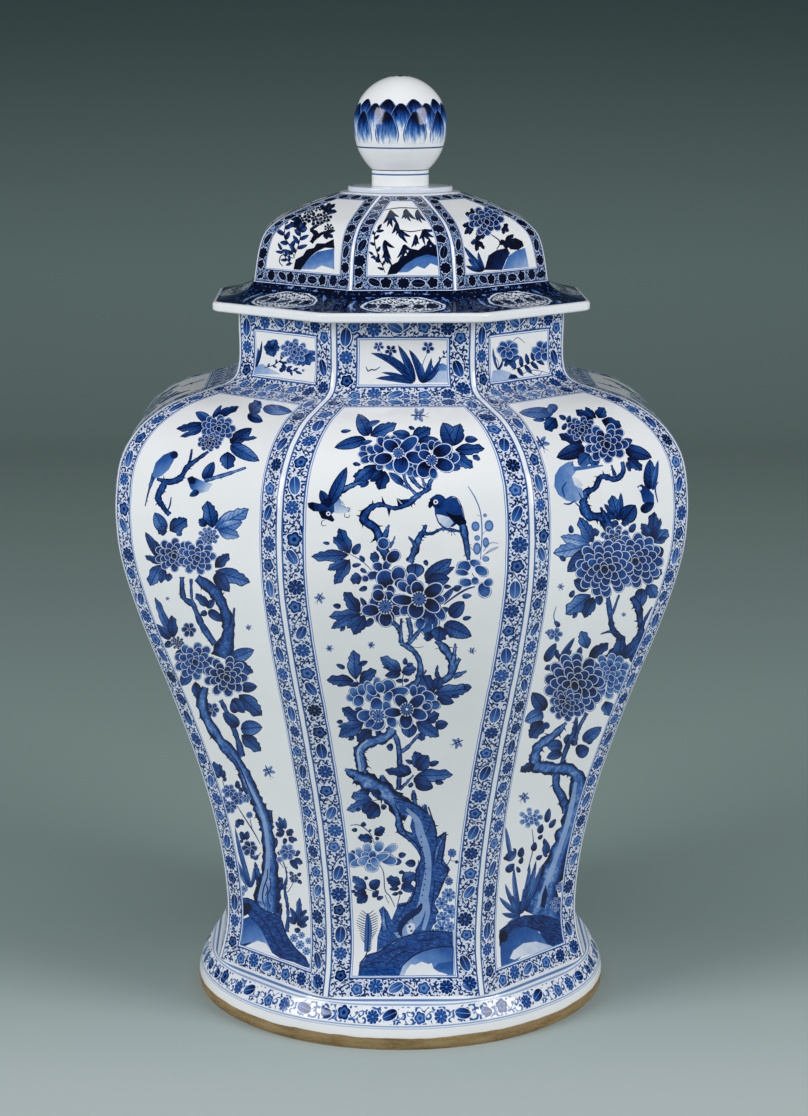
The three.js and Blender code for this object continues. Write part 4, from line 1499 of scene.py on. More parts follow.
def stem_paint(tree, panel, place):
    """One fine ring near the top of the stem."""
    _, _, z = place.parts()
    return line_at(z * 1000.0, 538.6, 0.45) * 0.6


def plinth_paint(tree, panel, place):
    """A ring near the edge, by the distance from the axis, and faint clouds."""
    x, y, _ = place.parts()
    reach = (x * x + y * y).math('SQRT') * 1000.0
    ring = line_at(reach, 31.4, 0.5) * 0.3 + reach.step(31.0, 33.0) * 0.08
    return ring + noise(place, 60.0, 2.0) * 0.06


def foot_wear(place):
    """Clay below 8 mm, with the wavering border that a wiped foot has."""
    height = place.parts()[2] * 1000.0
    return (height + (noise(place, 30.0, 3.0) - 0.5) * 3.2).step(8.6, 8.0)

# %% A glaze or a clay for each piece
body_glaze = glazed("body_glaze", framed_picture(Length=body.length, Low=2.6, High=2.0))
neck_glaze = glazed("neck_glaze", framed_picture(Length=neck.length, Low=4.7, High=3.7))
dome_glaze = glazed("dome_glaze", framed_picture(Length=dome.length, Low=0.5, High=-2.0, Size=0.62,
                                                Step=15.0, Dark=1.0), 1.22)
flange_glaze = glazed("flange_glaze", flange_paint, 1.35, shine=0.16)
foot_glaze = glazed("foot_glaze", foot_paint, worn=foot_wear)
knob_glaze = glazed("knob_glaze", knob_paint)
stem_glaze = glazed("stem_glaze", stem_paint)
plinth_glaze = glazed("plinth_glaze", plinth_paint)
clear_glaze = glazed("clear_glaze", bare)


def clay(name, pale, dark, stain):
    """Unglazed clay: matt, grainy, browner in blotches where the kiln touched it."""
    material, tree, shader, place = new_material(name)
    look = use(tree, clay_grain, Place=place)
    tree.links.new(toned(tree, look["Tone"], pale, dark, stain), shader.inputs["Base Color"])
    put(tree, look["Roughness"], shader, "Roughness")
    relief(tree, look["Height"], shader, 0.5, 0.0005)
    return material


foot_clay = clay("foot_clay", *FOOT_CLAY)
bare_clay = clay("bare_clay", *PALE_CLAY)
print("materials:", len(bpy.data.materials))

# %% [markdown]
# ## The front picture
# An old tree climbs from rocks through three clusters of open flowers. One bird dives in
# from the left and another sits on a twig to the right. Each part is typed over its own
# enlargement of the photograph, from the back to the front, because a later mark covers an
# earlier one.

# %% Front side: upper flowers and branch
FRONT_SCALE = 6
UPPER_CLUSTER, BIRDS, MIDDLE_CLUSTER = (325, 400), (300, 450), (400, 480)
LOWER_CLUSTER, TRUNK = (320, 590), (335, 780)
front = Sketch(seed=3)
front.view(UPPER_CLUSTER, FRONT_SCALE)
front.insect((560, 92), 60, 0.1)
front.foliage((
    ((262, 215), (198, 82), 92, .74), ((270, 215), (432, 140), 80, .74), ((245, 155), (332, 124), 36, .7),
    ((245, 235), (55, 286), 74, .76), ((95, 190), (158, 183), 24, .7), ((215, 262), (285, 245), 30, .7),
    ((512, 218), (404, 196), 60, .8), ((522, 228), (636, 168), 84, .78), ((500, 160), (540, 176), 26, .9),
    ((560, 250), (682, 236), 56, .82), ((776, 275), (706, 134), 110, .78), ((776, 275), (812, 140), 90, .8),
    ((838, 235), (918, 238), 44, .82), ((778, 298), (960, 292), 74, .82), ((765, 325), (890, 408), 80, .74),
    ((885, 332), (932, 360), 36, .74), ((690, 212), (716, 214), 16, .9), ((702, 245), (758, 285), 40, .78),
    ((755, 400), (814, 412), 44, .8), ((165, 382), (215, 388), 28, .8), ((355, 405), (165, 462), 86, .8),
    ((300, 400), (168, 510), 80, .76), ((362, 425), (322, 540), 92, .95), ((350, 425), (270, 490), 60, .95),
    ((262, 485), (212, 525), 36, .8)))
for path, widths in (([(470, 430), (488, 500), (545, 565)], (22, 20, 22)),
                     ([(505, 440), (535, 490), (578, 530)], (26, 26, 24)),
                     ([(580, 455), (592, 495), (604, 520)], (16, 18, 22)),
                     ([(668, 445), (632, 490), (622, 530)], (22, 26, 34)),
                     ([(395, 455), (450, 500), (500, 530)], (12, 14, 14))):
    front.branch(path, widths, .66)
front.leaf((470, 505), (382, 434), 48, .74, False)
front.branch([(632, 525), (560, 572), (522, 602), (496, 624), (420, 650), (335, 628), (268, 652),
              (232, 715), (300, 768), (330, 835), (352, 900), (388, 965)],
             (26, 34, 40, 34, 26, 28, 42, 56, 50, 60, 66, 56), .78, spurs=44)
front.branch([(384, 748), (362, 808), (338, 855)], (14, 34, 40), .74, spurs=20)
front.branch([(420, 815), (408, 850), (385, 885)], (6, 14, 26), .6)
front.branch([(505, 975), (545, 890), (562, 832), (588, 790), (608, 748)], (50, 44, 36, 32, 14), .76,
             spurs=26)
front.branch([(500, 818), (524, 848), (545, 880)], (10, 20, 26), .7, spurs=12)
front.branch([(590, 800), (640, 802), (700, 774), (760, 780), (832, 792)], (24, 20, 20, 22, 14), .78,
             spurs=14)
front.petals((
    (235, 293, 200, 46, 36, .72), (228, 326, 180, 50, 34, .72), (250, 356, 165, 66, 40, .76),
    (280, 300, 200, 60, 42, .76), (300, 350, 175, 70, 46, .8), (322, 292, 210, 60, 46, .8),
    (338, 250, 240, 56, 42, .86), (375, 244, 260, 54, 38, .84), (412, 244, 275, 56, 40, .8),
    (330, 400, 150, 40, 30, .7), (570, 300, 220, 60, 46, .8), (598, 292, 250, 60, 44, .84),
    (640, 272, 270, 54, 40, .8), (676, 276, 290, 56, 40, .8), (520, 392, 80, 60, 46, .7),
    (560, 395, 150, 66, 50, .78), (512, 428, 110, 52, 40, .7), (545, 440, 90, 44, 34, .7),
    (770, 346, 0, 66, 56, .74), (730, 332, 350, 60, 48, .8), (700, 350, 0, 70, 50, .78),
    (432, 262, 240, 60, 50, .8), (468, 330, 150, 80, 60, .78), (396, 276, 205, 86, 66, .88),
    (500, 268, 320, 120, 62, .74), (392, 388, 120, 62, 54, .72), (350, 352, 168, 98, 62, .88),
    (540, 345, 15, 104, 66, .8), (456, 388, 92, 96, 82, .84), (600, 330, 200, 70, 50, .8),
    (702, 304, 340, 104, 68, .9), (646, 402, 95, 66, 48, .74), (712, 388, 20, 108, 70, .9),
    (598, 416, 118, 90, 80, .9), (650, 440, 80, 60, 42, .74)))
front.aster((440, 318), 34, 12, .95)
front.aster((640, 362), 36, 12, .95)

# %% Front side: the two birds
front.leaf((650, 590), (722, 590), 50, .76, False)
front.shape([(668, 585), (722, 592), (752, 578), (790, 590), (818, 640), (834, 700), (850, 735), (835, 775),
             (790, 745), (765, 762), (716, 764), (680, 735), (660, 690), (655, 640)], .74, WASH, .86,
            ((690, 600), (820, 760)))
front.shape([(668, 686), (700, 690), (745, 704), (772, 735), (748, 764), (716, 760), (684, 732)], .1,
            WASH, .3, ((680, 700), (760, 760)))
front.line([(662, 680), (682, 736), (718, 768), (756, 766)], 7, .85)
front.shape([(722, 668), (770, 690), (812, 690), (848, 724), (846, 752), (818, 768), (772, 730), (742, 700)],
            .99)
front.shape([(626, 596), (650, 576), (690, 574), (718, 596), (712, 640), (672, 656), (648, 640)], .78, WASH,
            .9, ((690, 580), (650, 650)))
front.shape([(640, 600), (622, 612), (618, 640), (630, 652), (652, 628), (690, 650), (680, 620),
            (650, 600)], .98)
front.dot((664, 612), 15, .04)
front.dot((664, 612), 7, .98)
front.line([(655, 575), (690, 572), (722, 600), (755, 578), (795, 592), (824, 650), (838, 710)], 5, .92)
front.branch([(826, 748), (846, 850), (862, 962)], (46, 40, 26), .72)
for toe in ((760, 815), (782, 812), (735, 800)):
    front.line([(758, 775), toe], 6, .9)
front.view(BIRDS, FRONT_SCALE)
front.shape([(45, 318), (75, 312), (118, 322), (150, 330), (120, 370), (80, 368), (50, 345)], .9, FEATHER, 0,
            ((130, 340), (45, 325)))
front.branch([(190, 285), (245, 245), (330, 205), (375, 190)], (60, 44, 30, 12), .64)
front.shape([(186, 290), (240, 290), (250, 330), (290, 350), (308, 372), (250, 382), (200, 378)], .16,
            WASH, .45, ((240, 380), (240, 290)))
front.shape([(112, 330), (140, 300), (180, 290), (204, 310), (206, 370), (186, 388), (150, 390), (120, 390),
             (106, 360)], .7, WASH, .9, ((200, 320), (120, 390)))
front.leaf((178, 330), (282, 100), 78, .76, False)
front.leaf((165, 330), (122, 240), 60, .92, False)
front.shape([(140, 300), (190, 280), (192, 330), (170, 350), (148, 336)], .97)
front.shape([(112, 375), (140, 362), (180, 372), (208, 420), (196, 432), (160, 418), (130, 412)], .96)
front.dot((170, 382), 14, .04)
front.dot((170, 382), 6, .98)
front.lines(([(150, 418), (130, 430), (134, 455), (158, 450)], [(270, 378), (268, 400), (292, 404),
             (298, 388)], [(240, 300), (262, 318)], [(244, 312), (268, 330)], [(250, 330), (278, 345)],
             [(285, 372), (300, 350), (282, 346)]), 5, .88)

# %% Front side: middle cluster
front.foliage((
    ((298, 625), (232, 468), 84, .82, True), ((290, 610), (198, 520), 60, .84, True),
    ((295, 630), (66, 640), 78, .72, True), ((300, 655), (205, 808), 80, .74, True),
    ((290, 660), (165, 720), 60, .74, True), ((318, 625), (362, 560), 50, .78, False),
    ((385, 672), (358, 632), 32, .82, False), ((312, 696), (368, 686), 28, .78, False),
    ((362, 712), (402, 738), 28, .78, False), ((178, 562), (136, 556), 22, .7, False),
    ((372, 765), (300, 780), 76, .78, True), ((404, 825), (352, 842), 34, .82, False),
    ((478, 640), (418, 650), 76, .84, True), ((360, 975), (262, 850), 84, .82, True),
    ((398, 940), (362, 884), 32, .8, False), ((372, 985), (172, 1000), 76, .7, True),
    ((350, 985), (185, 1072), 62, .68, True), ((388, 990), (320, 1110), 84, .8, True),
    ((380, 995), (280, 1070), 56, .76, True), ((246, 940), (196, 932), 34, .84, False),
    ((270, 1060), (240, 1088), 26, .8, False), ((436, 1010), (398, 1062), 44, .82, False)))
front.line([(430, 722), (370, 665), (300, 625)], 6, .7)
front.insect((118, 885), 44, 2.2)
front.insect((175, 1188), 20, .4)
front.insect((428, 1165), 20, 1.2)
front.view(MIDDLE_CLUSTER, FRONT_SCALE)
front.foliage((
    ((95, 500), (88, 590), 110, .74, False), ((148, 480), (165, 516), 30, .84, False),
    ((150, 600), (312, 472), 92, .74, False), ((150, 615), (330, 520), 60, .8, False),
    ((160, 610), (300, 590), 90, .84, False), ((262, 640), (308, 640), 28, .8, False),
    ((236, 745), (330, 640), 40, .74, False), ((300, 820), (385, 728), 90, .84, False),
    ((375, 835), (430, 822), 28, .8, False), ((262, 868), (432, 938), 104, .72, False),
    ((292, 925), (325, 940), 34, .84, False), ((238, 790), (295, 770), 40, .86, False)))
front.line([(408, 38), (452, 110), (484, 200), (492, 330), (482, 480)], 7, .55)
front.lines(([(484, 216), (462, 210)], [(490, 330), (520, 300)], [(486, 470), (540, 420), (590, 400)]), 5,
            .55)
for x, y, size, tall in ((453, 278, 26, 1.2), (534, 275, 28, 1.3), (463, 348, 18, 1.0), (515, 375, 20, 1.6),
                         (462, 412, 24, 1.6), (515, 474, 22, .8), (510, 212, 12, 1.0)):
    front.dot((x, y), size, .55, tall)
    front.dot((x, y), size * .66, .4, tall)
front.lines(([(500, 430), (540, 380), (590, 380)], [(510, 445), (560, 420), (590, 405)],
             [(420, 400), (440, 420), (460, 440)]), 5, .55)
for x, y, angle, length, width in ((385, 520, 160, 76, 62), (372, 555, 190, 70, 34), (450, 500, 20, 60, 40),
                                   (488, 545, 30, 76, 50), (395, 615, 180, 70, 44), (450, 605, 90, 40, 40),
                                   (505, 660, 70, 80, 66), (530, 615, 340, 50, 40)):
    front.petal((x, y), np.radians(angle), length, width, .62)
front.line([(262, 748), (340, 690), (400, 655), (450, 640)], 12, .8)
front.line([(432, 560), (446, 582)], 8, .9)
front.leaf((320, 658), (372, 640), 40, .86, False)
front.leaf((372, 700), (432, 692), 34, .6, False)
front.line([(285, 720), (290, 690), (284, 676)], 7, .9)
front.view(BIRDS, FRONT_SCALE)
front.petals((
    (500, 560, 300, 60, 60, .72), (470, 700, 200, 60, 46, .8), (436, 752, 160, 60, 44, .84),
    (520, 690, 300, 60, 40, .74), (560, 640, 320, 80, 60, .86), (392, 772, 190, 36, 34, .7),
    (512, 775, 250, 98, 92, .8), (590, 745, 290, 80, 74, .78), (470, 830, 180, 56, 40, .7),
    (545, 838, 60, 50, 40, .74), (600, 800, 0, 60, 50, .76)))
front.bloom((512, 942), 66, 8, 66, .86, .95, .35)
front.petal((424, 962), np.pi, 96, 62, .82)
front.petal((514, 1016), np.pi / 2, 78, 70, .86)
front.petal((470, 872), np.radians(225), 66, 62, .88)
front.aster((512, 940), 46, 14, .9)
front.view(MIDDLE_CLUSTER, FRONT_SCALE)
front.petals((
    (20, 640, 220, 70, 50, .74), (70, 600, 260, 70, 56, .74), (30, 780, 140, 60, 48, .74),
    (140, 800, 60, 60, 44, .76), (60, 660, 240, 50, 40, .8), (235, 715, 10, 60, 40, .78),
    (180, 830, 60, 120, 76, .72), (160, 880, 90, 90, 60, .68), (240, 800, 60, 80, 50, .74),
    (120, 860, 110, 60, 50, .66), (20, 720, 185, 120, 56, .86), (106, 654, 250, 84, 68, .88),
    (198, 664, 330, 108, 70, .9), (190, 752, 35, 96, 66, .9), (96, 780, 100, 90, 84, .88)))
front.aster((114, 714), 46, 14, .96)
print("front marks so far:", len(front.marks))

# %% Front side: lower cluster
front.view(LOWER_CLUSTER, FRONT_SCALE)
for path, widths in (([(432, 190), (475, 235), (488, 320)], (24, 28, 30)),
                     ([(488, 170), (486, 240), (490, 320)], (14, 18, 20)),
                     ([(528, 165), (545, 250), (540, 300), (520, 340)], (36, 30, 26, 24)),
                     ([(612, 225), (560, 290), (540, 320)], (30, 24, 22)),
                     ([(484, 318), (560, 365), (600, 440), (590, 540), (530, 600)], (30, 36, 36, 48, 56))):
    front.branch(path, widths, .62, spurs=16)
front.branch([(640, 480), (600, 530)], (8, 26), .8)
front.branch([(700, 300), (760, 370), (796, 440), (776, 520), (700, 560)], (40, 52, 54, 46, 30), .6, spurs=26)
front.branch([(812, 320), (806, 380), (800, 420)], (10, 26, 34), .56)
front.branch([(800, 520), (850, 500), (880, 486)], (34, 26, 12), .62, spurs=12)
front.branch([(706, 450), (700, 500), (720, 540)], (8, 26, 34), .9)
front.branch([(840, 410), (812, 450)], (20, 34), .74)
front.foliage((
    ((660, 250), (640, 310), 60, .94, True), ((720, 215), (710, 310), 110, .84, True),
    ((660, 150), (650, 215), 70, .74, False),
    ((215, 540), (200, 358), 92, .62, True), ((205, 545), (38, 540), 76, .78, True),
    ((235, 545), (340, 480), 78, .78, True), ((150, 470), (96, 446), 30, .78, False),
    ((232, 450), (288, 428), 34, .84, False), ((238, 565), (160, 568), 32, .84, False),
    ((135, 570), (102, 574), 20, .84, False), ((235, 550), (270, 560), 26, .84, False),
    ((490, 490), (360, 402), 80, .66, True), ((485, 500), (388, 515), 52, .84, False),
    ((418, 462), (376, 464), 24, .84, False), ((488, 495), (580, 470), 66, .74, True),
    ((510, 450), (512, 405), 32, .84, False), ((520, 455), (560, 440), 28, .78, False),
    ((500, 545), (452, 545), 28, .84, False), ((500, 545), (536, 540), 26, .84, False),
    ((680, 625), (612, 510), 110, .84, True), ((690, 600), (720, 520), 80, .88, True),
    ((680, 620), (908, 590), 88, .66, True), ((860, 580), (912, 585), 40, .76, False),
    ((700, 650), (806, 676), 60, .86, False), ((790, 635), (838, 640), 28, .84, False),
    ((262, 800), (130, 706), 80, .84, True), ((260, 805), (110, 880), 84, .7, True),
    ((265, 800), (105, 820), 50, .7, True), ((255, 715), (208, 715), 28, .84, False),
    ((138, 790), (98, 792), 28, .84, False), ((205, 880), (168, 900), 30, .84, False),
    ((312, 840), (220, 910), 84, .86, True), ((300, 850), (270, 915), 60, .86, True),
    ((355, 840), (345, 880), 40, .92, False),
    ((630, 790), (716, 740), 72, .84, True), ((575, 790), (716, 880), 92, .7, True),
    ((690, 815), (770, 800), 60, .78, False), ((640, 730), (672, 720), 28, .84, False),
    ((535, 800), (535, 888), 96, .8, False), ((590, 860), (628, 900), 54, .82, True)))
front.line([(560, 345), (600, 345), (622, 336)], 4, .6)
front.lines(([(510, 470), (495, 540), (500, 600)], [(215, 540), (268, 590)], [(262, 800), (300, 810)],
             [(690, 355), (722, 345)]), 6, .84)
front.insect((55, 352), 30, .1)
front.insect((305, 330), 30, .9)
front.insect((910, 366), 30, .1)
front.insect((825, 915), 48, 2.8)
front.petals((
    (190, 645, 180, 56, 40, .56), (205, 615, 230, 60, 44, .56), (250, 600, 260, 60, 44, .6),
    (232, 665, 110, 62, 56, .64), (285, 580, 260, 60, 40, .6), (340, 555, 280, 56, 36, .56),
    (318, 640, 180, 80, 56, .6), (310, 600, 230, 70, 46, .6), (408, 585, 270, 86, 74, .66),
    (360, 585, 240, 60, 50, .62), (340, 690, 80, 80, 66, .62), (470, 612, 350, 110, 50, .7),
    (410, 640, 120, 60, 44, .6), (600, 610, 320, 70, 50, .76), (560, 605, 270, 60, 40, .7),
    (650, 640, 30, 76, 56, .68), (690, 690, 80, 50, 56, .62), (650, 690, 90, 50, 40, .6),
    (275, 755, 180, 90, 62, .66), (340, 795, 95, 84, 84, .74), (400, 700, 260, 60, 44, .64),
    (430, 790, 60, 66, 50, .64), (390, 745, 10, 50, 44, .64), (300, 800, 140, 60, 40, .64),
    (330, 745, 200, 60, 50, .68), (440, 735, 180, 96, 50, .8), (488, 668, 225, 84, 60, .88),
    (578, 672, 320, 100, 60, .86), (592, 745, 20, 92, 60, .8), (516, 784, 95, 84, 70, .88),
    (640, 700, 0, 50, 40, .76)))
front.aster((350, 755), 40, 12, .8)
front.aster((520, 716), 42, 14, .99)
front.dot((521, 716), 8, .02)

# %% Front side: trunk, small plants and rocks
for path, widths in (([(440, 850), (470, 930), (478, 1060), (470, 1200)], (20, 34, 30, 34)),
                     ([(590, 870), (530, 940), (488, 970)], (16, 22, 24)),
                     ([(530, 1150), (478, 1190)], (12, 24)),
                     ([(562, 1110), (478, 1200)], (10, 20))):
    front.branch(path, widths, .66, spurs=10)
front.foliage((
    ((600, 1080), (570, 965), 80, .84, True), ((585, 1085), (650, 990), 90, .84, True),
    ((555, 1040), (512, 1020), 28, .84, False), ((655, 1050), (716, 1030), 36, .84, False),
    ((545, 1105), (388, 1080), 60, .86, True), ((550, 1100), (470, 1050), 56, .84, True),
    ((570, 1115), (800, 1108), 84, .62, True), ((560, 1130), (680, 1180), 66, .84, False),
    ((690, 1152), (744, 1158), 32, .84, False), ((560, 1160), (530, 1178), 26, .84, False),
    ((440, 945), (398, 940), 48, .84, False), ((300, 1215), (185, 1245), 70, .7, True)))
front.branch([(436, 830), (400, 880), (300, 915), (240, 960), (250, 1050), (262, 1110), (380, 1190),
              (470, 1262)], (60, 66, 62, 74, 66, 74, 84, 96), .55, spurs=30)
front.branch([(215, 940), (222, 1000)], (30, 40), .84, spurs=16)
front.branch([(150, 1075), (200, 1105), (260, 1120)], (18, 60, 60), .66, spurs=16)
front.branch([(370, 1110), (380, 1160)], (26, 60), .76, spurs=18)
front.branch([(560, 1200), (565, 1262)], (12, 44), .72)
front.line([(285, 900), (230, 960), (238, 1050), (250, 1100), (360, 1180), (450, 1240)], 15, .3)
front.view(TRUNK, FRONT_SCALE)
front.branch([(120, -20), (200, 14), (300, 76), (380, 150), (450, 190)], (84, 92, 100, 110, 130), .55,
             spurs=34)
front.branch([(350, 150), (378, 220), (392, 300), (470, 350)], (30, 40, 44, 60), .66, spurs=20)
front.shape([(350, 120), (430, 128), (480, 140), (520, 160), (550, 145), (560, 200), (600, 250), (612, 340),
             (668, 308), (662, 400), (650, 480), (690, 530), (650, 620), (620, 700), (610, 780), (630, 840),
             (590, 870), (570, 925), (400, 955), (330, 985), (250, 1030), (255, 940), (285, 850), (262, 780),
             (290, 755), (318, 790), (340, 840), (380, 740), (440, 730), (470, 660), (490, 600), (480, 540),
             (515, 470), (490, 420), (430, 350), (470, 330), (450, 280), (462, 220), (400, 190)],
            .68, ROCK, 0)
for path, wide, ink in (([(470, 62), (474, 110), (484, 150)], 34, .7), ([(540, 145), (520, 190)], 26, .7),
                        ([(668, 312), (620, 400), (600, 470)], 40, .6), ([(690, 536), (640, 590)], 36, .74),
                        ([(290, 760), (292, 850), (300, 900)], 44, .5)):
    front.branch([path[0], *path[1:]], np.linspace(8, wide, len(path)), ink, spurs=14)
front.branch([(430, 175), (490, 240), (512, 320), (548, 420), (560, 520), (545, 640), (520, 760), (470, 860),
              (370, 940)], (18, 36, 50, 42, 38, 50, 54, 68, 54), .36, kind=FILL)
front.branch([(552, 700), (556, 800), (530, 900)], (16, 28, 20), .36, kind=FILL)
for path in ([(392, 195), (400, 250), (432, 330), (500, 400), (515, 480), (485, 560), (485, 640),
              (450, 730), (380, 760)],
             [(560, 160), (606, 300), (612, 345), (662, 320), (656, 400), (640, 500), (680, 540),
              (640, 640), (606, 740), (626, 840), (570, 920)],
             [(350, 110), (440, 130), (500, 160), (560, 200)]):
    front.branch(path, np.full(len(path), 9.0), .95, 22, FILL)
for y in range(340, 700, 32):
    front.dot((530 + 14 * np.sin(y / 70), y), 5, .95)
front.branch([(400, 940), (390, 890), (430, 830), (500, 780), (520, 740)], (10, 34, 40, 34, 12), .84, 22,
             FEATHER)
front.shape([(430, 900), (430, 870), (455, 855), (478, 866), (480, 895), (460, 925), (438, 925)], .12)
front.dot((448, 880), 8, .8)
front.dot((458, 905), 7, .8)
front.lines(([(575, 250), (560, 300), (540, 330)], [(612, 360), (600, 440), (585, 520)],
             [(640, 420), (610, 500)], [(600, 600), (590, 700), (575, 800)],
             [(500, 480), (505, 560), (500, 640)], [(450, 700), (400, 800), (340, 880)]), 8, .9)
front.foliage((
    ((225, 120), (100, 92), 60, .6, True), ((220, 125), (68, 182), 66, .6, True),
    ((265, 150), (160, 190), 90, .84, True), ((265, 150), (195, 232), 90, .88, True),
    ((150, 175), (122, 180), 28, .84, False), ((275, 165), (312, 158), 36, .9, False),
    ((280, 85), (215, 75), 56, .9, True), ((175, 60), (150, 75), 34, .84, False),
    ((235, 330), (300, 286), 60, .84, True), ((225, 350), (135, 345), 56, .86, True),
    ((170, 280), (172, 250), 34, .86, False), ((135, 300), (98, 300), 26, .86, False),
    ((240, 350), (268, 352), 24, .86, False), ((225, 365), (200, 370), 26, .86, False),
    ((215, 310), (204, 296), 20, .84, False),
    ((355, 490), (402, 490), 44, .8, False), ((380, 455), (428, 445), 36, .84, False),
    ((485, 500), (420, 500), 48, .84, False), ((110, 450), (104, 420), 30, .84, False),
    ((118, 510), (88, 516), 26, .8, False),
    ((190, 655), (104, 576), 60, .7, True), ((185, 655), (110, 640), 50, .74, True),
    ((210, 650), (270, 600), 64, .84, False), ((190, 675), (112, 690), 50, .86, False),
    ((198, 690), (130, 738), 60, .86, True), ((190, 600), (184, 576), 26, .86, False),
    ((125, 670), (94, 668), 22, .86, False), ((225, 705), (262, 662), 40, .86, True),
    ((250, 715), (292, 700), 28, .8, False),
    ((395, 625), (308, 590), 70, .84, True), ((400, 610), (484, 560), 80, .74, True),
    ((400, 565), (398, 540), 36, .86, False), ((398, 630), (484, 665), 60, .82, False),
    ((385, 650), (324, 655), 28, .84, False), ((380, 680), (340, 688), 24, .84, False),
    ((378, 672), (408, 682), 24, .84, False), ((480, 20), (590, 48), 70, .84, False),
    ((600, 8), (654, 18), 34, .84, False), ((440, 40), (470, 22), 28, .84, False),
    ((720, 490), (742, 494), 22, .8, False), ((668, 620), (705, 600), 40, .8, False)))
front.lines(([(90, 272), (150, 272), (210, 320), (235, 380)], [(220, 125), (290, 120), (340, 160)],
             [(270, 510), (292, 560), (300, 660), (330, 700), (360, 762)],
             [(404, 620), (388, 700), (370, 760)], [(190, 655), (250, 675)],
             [(655, 540), (690, 480), (702, 440)], [(690, 480), (725, 492)], [(300, 690), (322, 740)]), 6,
             .84)
front.petals((
    (90, 468, 180, 60, 56, .5), (150, 440, 230, 60, 40, .4), (195, 415, 260, 60, 44, .4),
    (262, 400, 280, 56, 50, .44), (330, 415, 330, 80, 40, .4), (300, 450, 0, 70, 36, .44),
    (135, 495, 160, 80, 40, .5), (190, 455, 200, 60, 40, .5), (180, 485, 170, 80, 50, .44),
    (220, 520, 95, 56, 66, .4), (320, 480, 10, 90, 50, .56), (260, 470, 340, 120, 40, .5),
    (225, 450, 260, 44, 40, .6), (240, 495, 60, 60, 40, .44)))
front.aster((702, 438), 28, 8, .8)
front.aster((684, 608), 26, 8, .8)
for x, y, size in ((680, 690, 44), (640, 740, 40), (690, 790, 46), (650, 830, 44), (640, 890, 48),
                   (690, 880, 34)):
    front.aster((x, y), size, 8, .62)
for row, y in enumerate(range(800, 1030, 15)):
    reach = 20 + 44 * np.sin(np.pi * min((y - 790) / 210, 1) ** .7)
    middle = 196 + 4 * np.sin(row)
    front.line([(middle - reach, y - 18), (middle, y + 6), (middle + reach, y - 18)], 6, .92, 3)
front.branch([(196, 800), (200, 900), (190, 1030)], (16, 44, 30), .6, kind=FILL)
front.line([(196, 800), (200, 900), (190, 1040), (145, 1100)], 8, .92)
front.shape([(138, 1188), (145, 1115), (190, 1060), (215, 1040), (262, 1035), (330, 990), (400, 950),
             (490, 930), (560, 915), (630, 905), (708, 915), (712, 1188)], .74, ROCK)
front.line([(145, 1115), (190, 1055), (262, 1030), (330, 985), (400, 946), (560, 908), (706, 914)], 9, .95)
front.shape([(380, 1188), (410, 1110), (470, 1060), (540, 1025), (620, 1005), (712, 1005), (712, 1188)],
            .62, WASH, .3, ((640, 1010), (560, 1188)))
front.line([(400, 1120), (460, 1062), (540, 1022), (640, 1000), (712, 1004)], 9, .95)
front.shape([(580, 1140), (620, 1100), (712, 1085), (712, 1188), (600, 1188)], .66, WASH, .5,
            ((640, 1090), (640, 1188)))
front.shape([(412, 1180), (430, 1140), (455, 1105), (480, 1110), (520, 1090), (560, 1105), (580, 1098),
             (590, 1130), (620, 1150), (672, 1165), (680, 1180)], .03)
front.lines(([(230, 1080), (300, 1040), (380, 1010), (440, 1010)], [(150, 1130), (220, 1100), (300, 1090)],
             [(300, 1120), (360, 1060), (420, 1030)], [(480, 960), (560, 960), (640, 940)]), 8, .92)
front_art = front.on(body, 0)
print("front marks:", len(front_art))

# %% [markdown]
# ## Small pictures on the neck and the dome
# Three pictures show on the neck: lilies by a stone, and two flower sprays. The dome carries
# darker ones, painted when the cobalt was thick: stones with a black ridge and a bright
# wash, willow leaves and a peony. The sides that the photograph hides repeat the three.

# %% Neck pictures
NECK_VIEW, NECK_SCALE = (230, 310), 4
DOME_VIEW, DOME_SCALE = (205, 175), 3.6
lilies = Sketch(NECK_VIEW, NECK_SCALE, seed=11)
lilies.shape([(782, 290), (790, 262), (812, 250), (838, 240), (884, 236), (886, 290)], .3, WASH, .2)
lilies.shape([(812, 250), (826, 222), (850, 212), (878, 226), (882, 246), (850, 242)], .55, WASH, .35)
for flower, size, ink in (((595, 146), 13, .6), ((643, 162), 15, .85), ((792, 150), 16, .7)):
    lilies.bloom(flower, size, 5, size * 1.1, ink, .9, .3)
lilies.lines(([(600, 165), (660, 230), (725, 290)], [(650, 180), (690, 250), (735, 288)],
             [(790, 170), (770, 220), (760, 288)]), 3, .8)
lilies.tuft((732, 290), [(562, 172)], 34, .8, -24)
lilies.tuft((735, 292), [(582, 274), (604, 250)], 22, .78, -8)
lilies.tuft((738, 290), [(672, 140)], 34, .86, -6)
lilies.tuft((765, 290), [(716, 158), (746, 196)], 27, .82, -10)
lilies.tuft((766, 292), [(846, 188), (838, 230), (806, 190)], 19, .82, 8)
lilies.twig([(800, 250), (840, 200), (862, 172)], 18, .7, 3, 5)
lilies.line([(544, 226), (552, 244), (566, 238), (580, 240), (600, 228)], 5, .85)

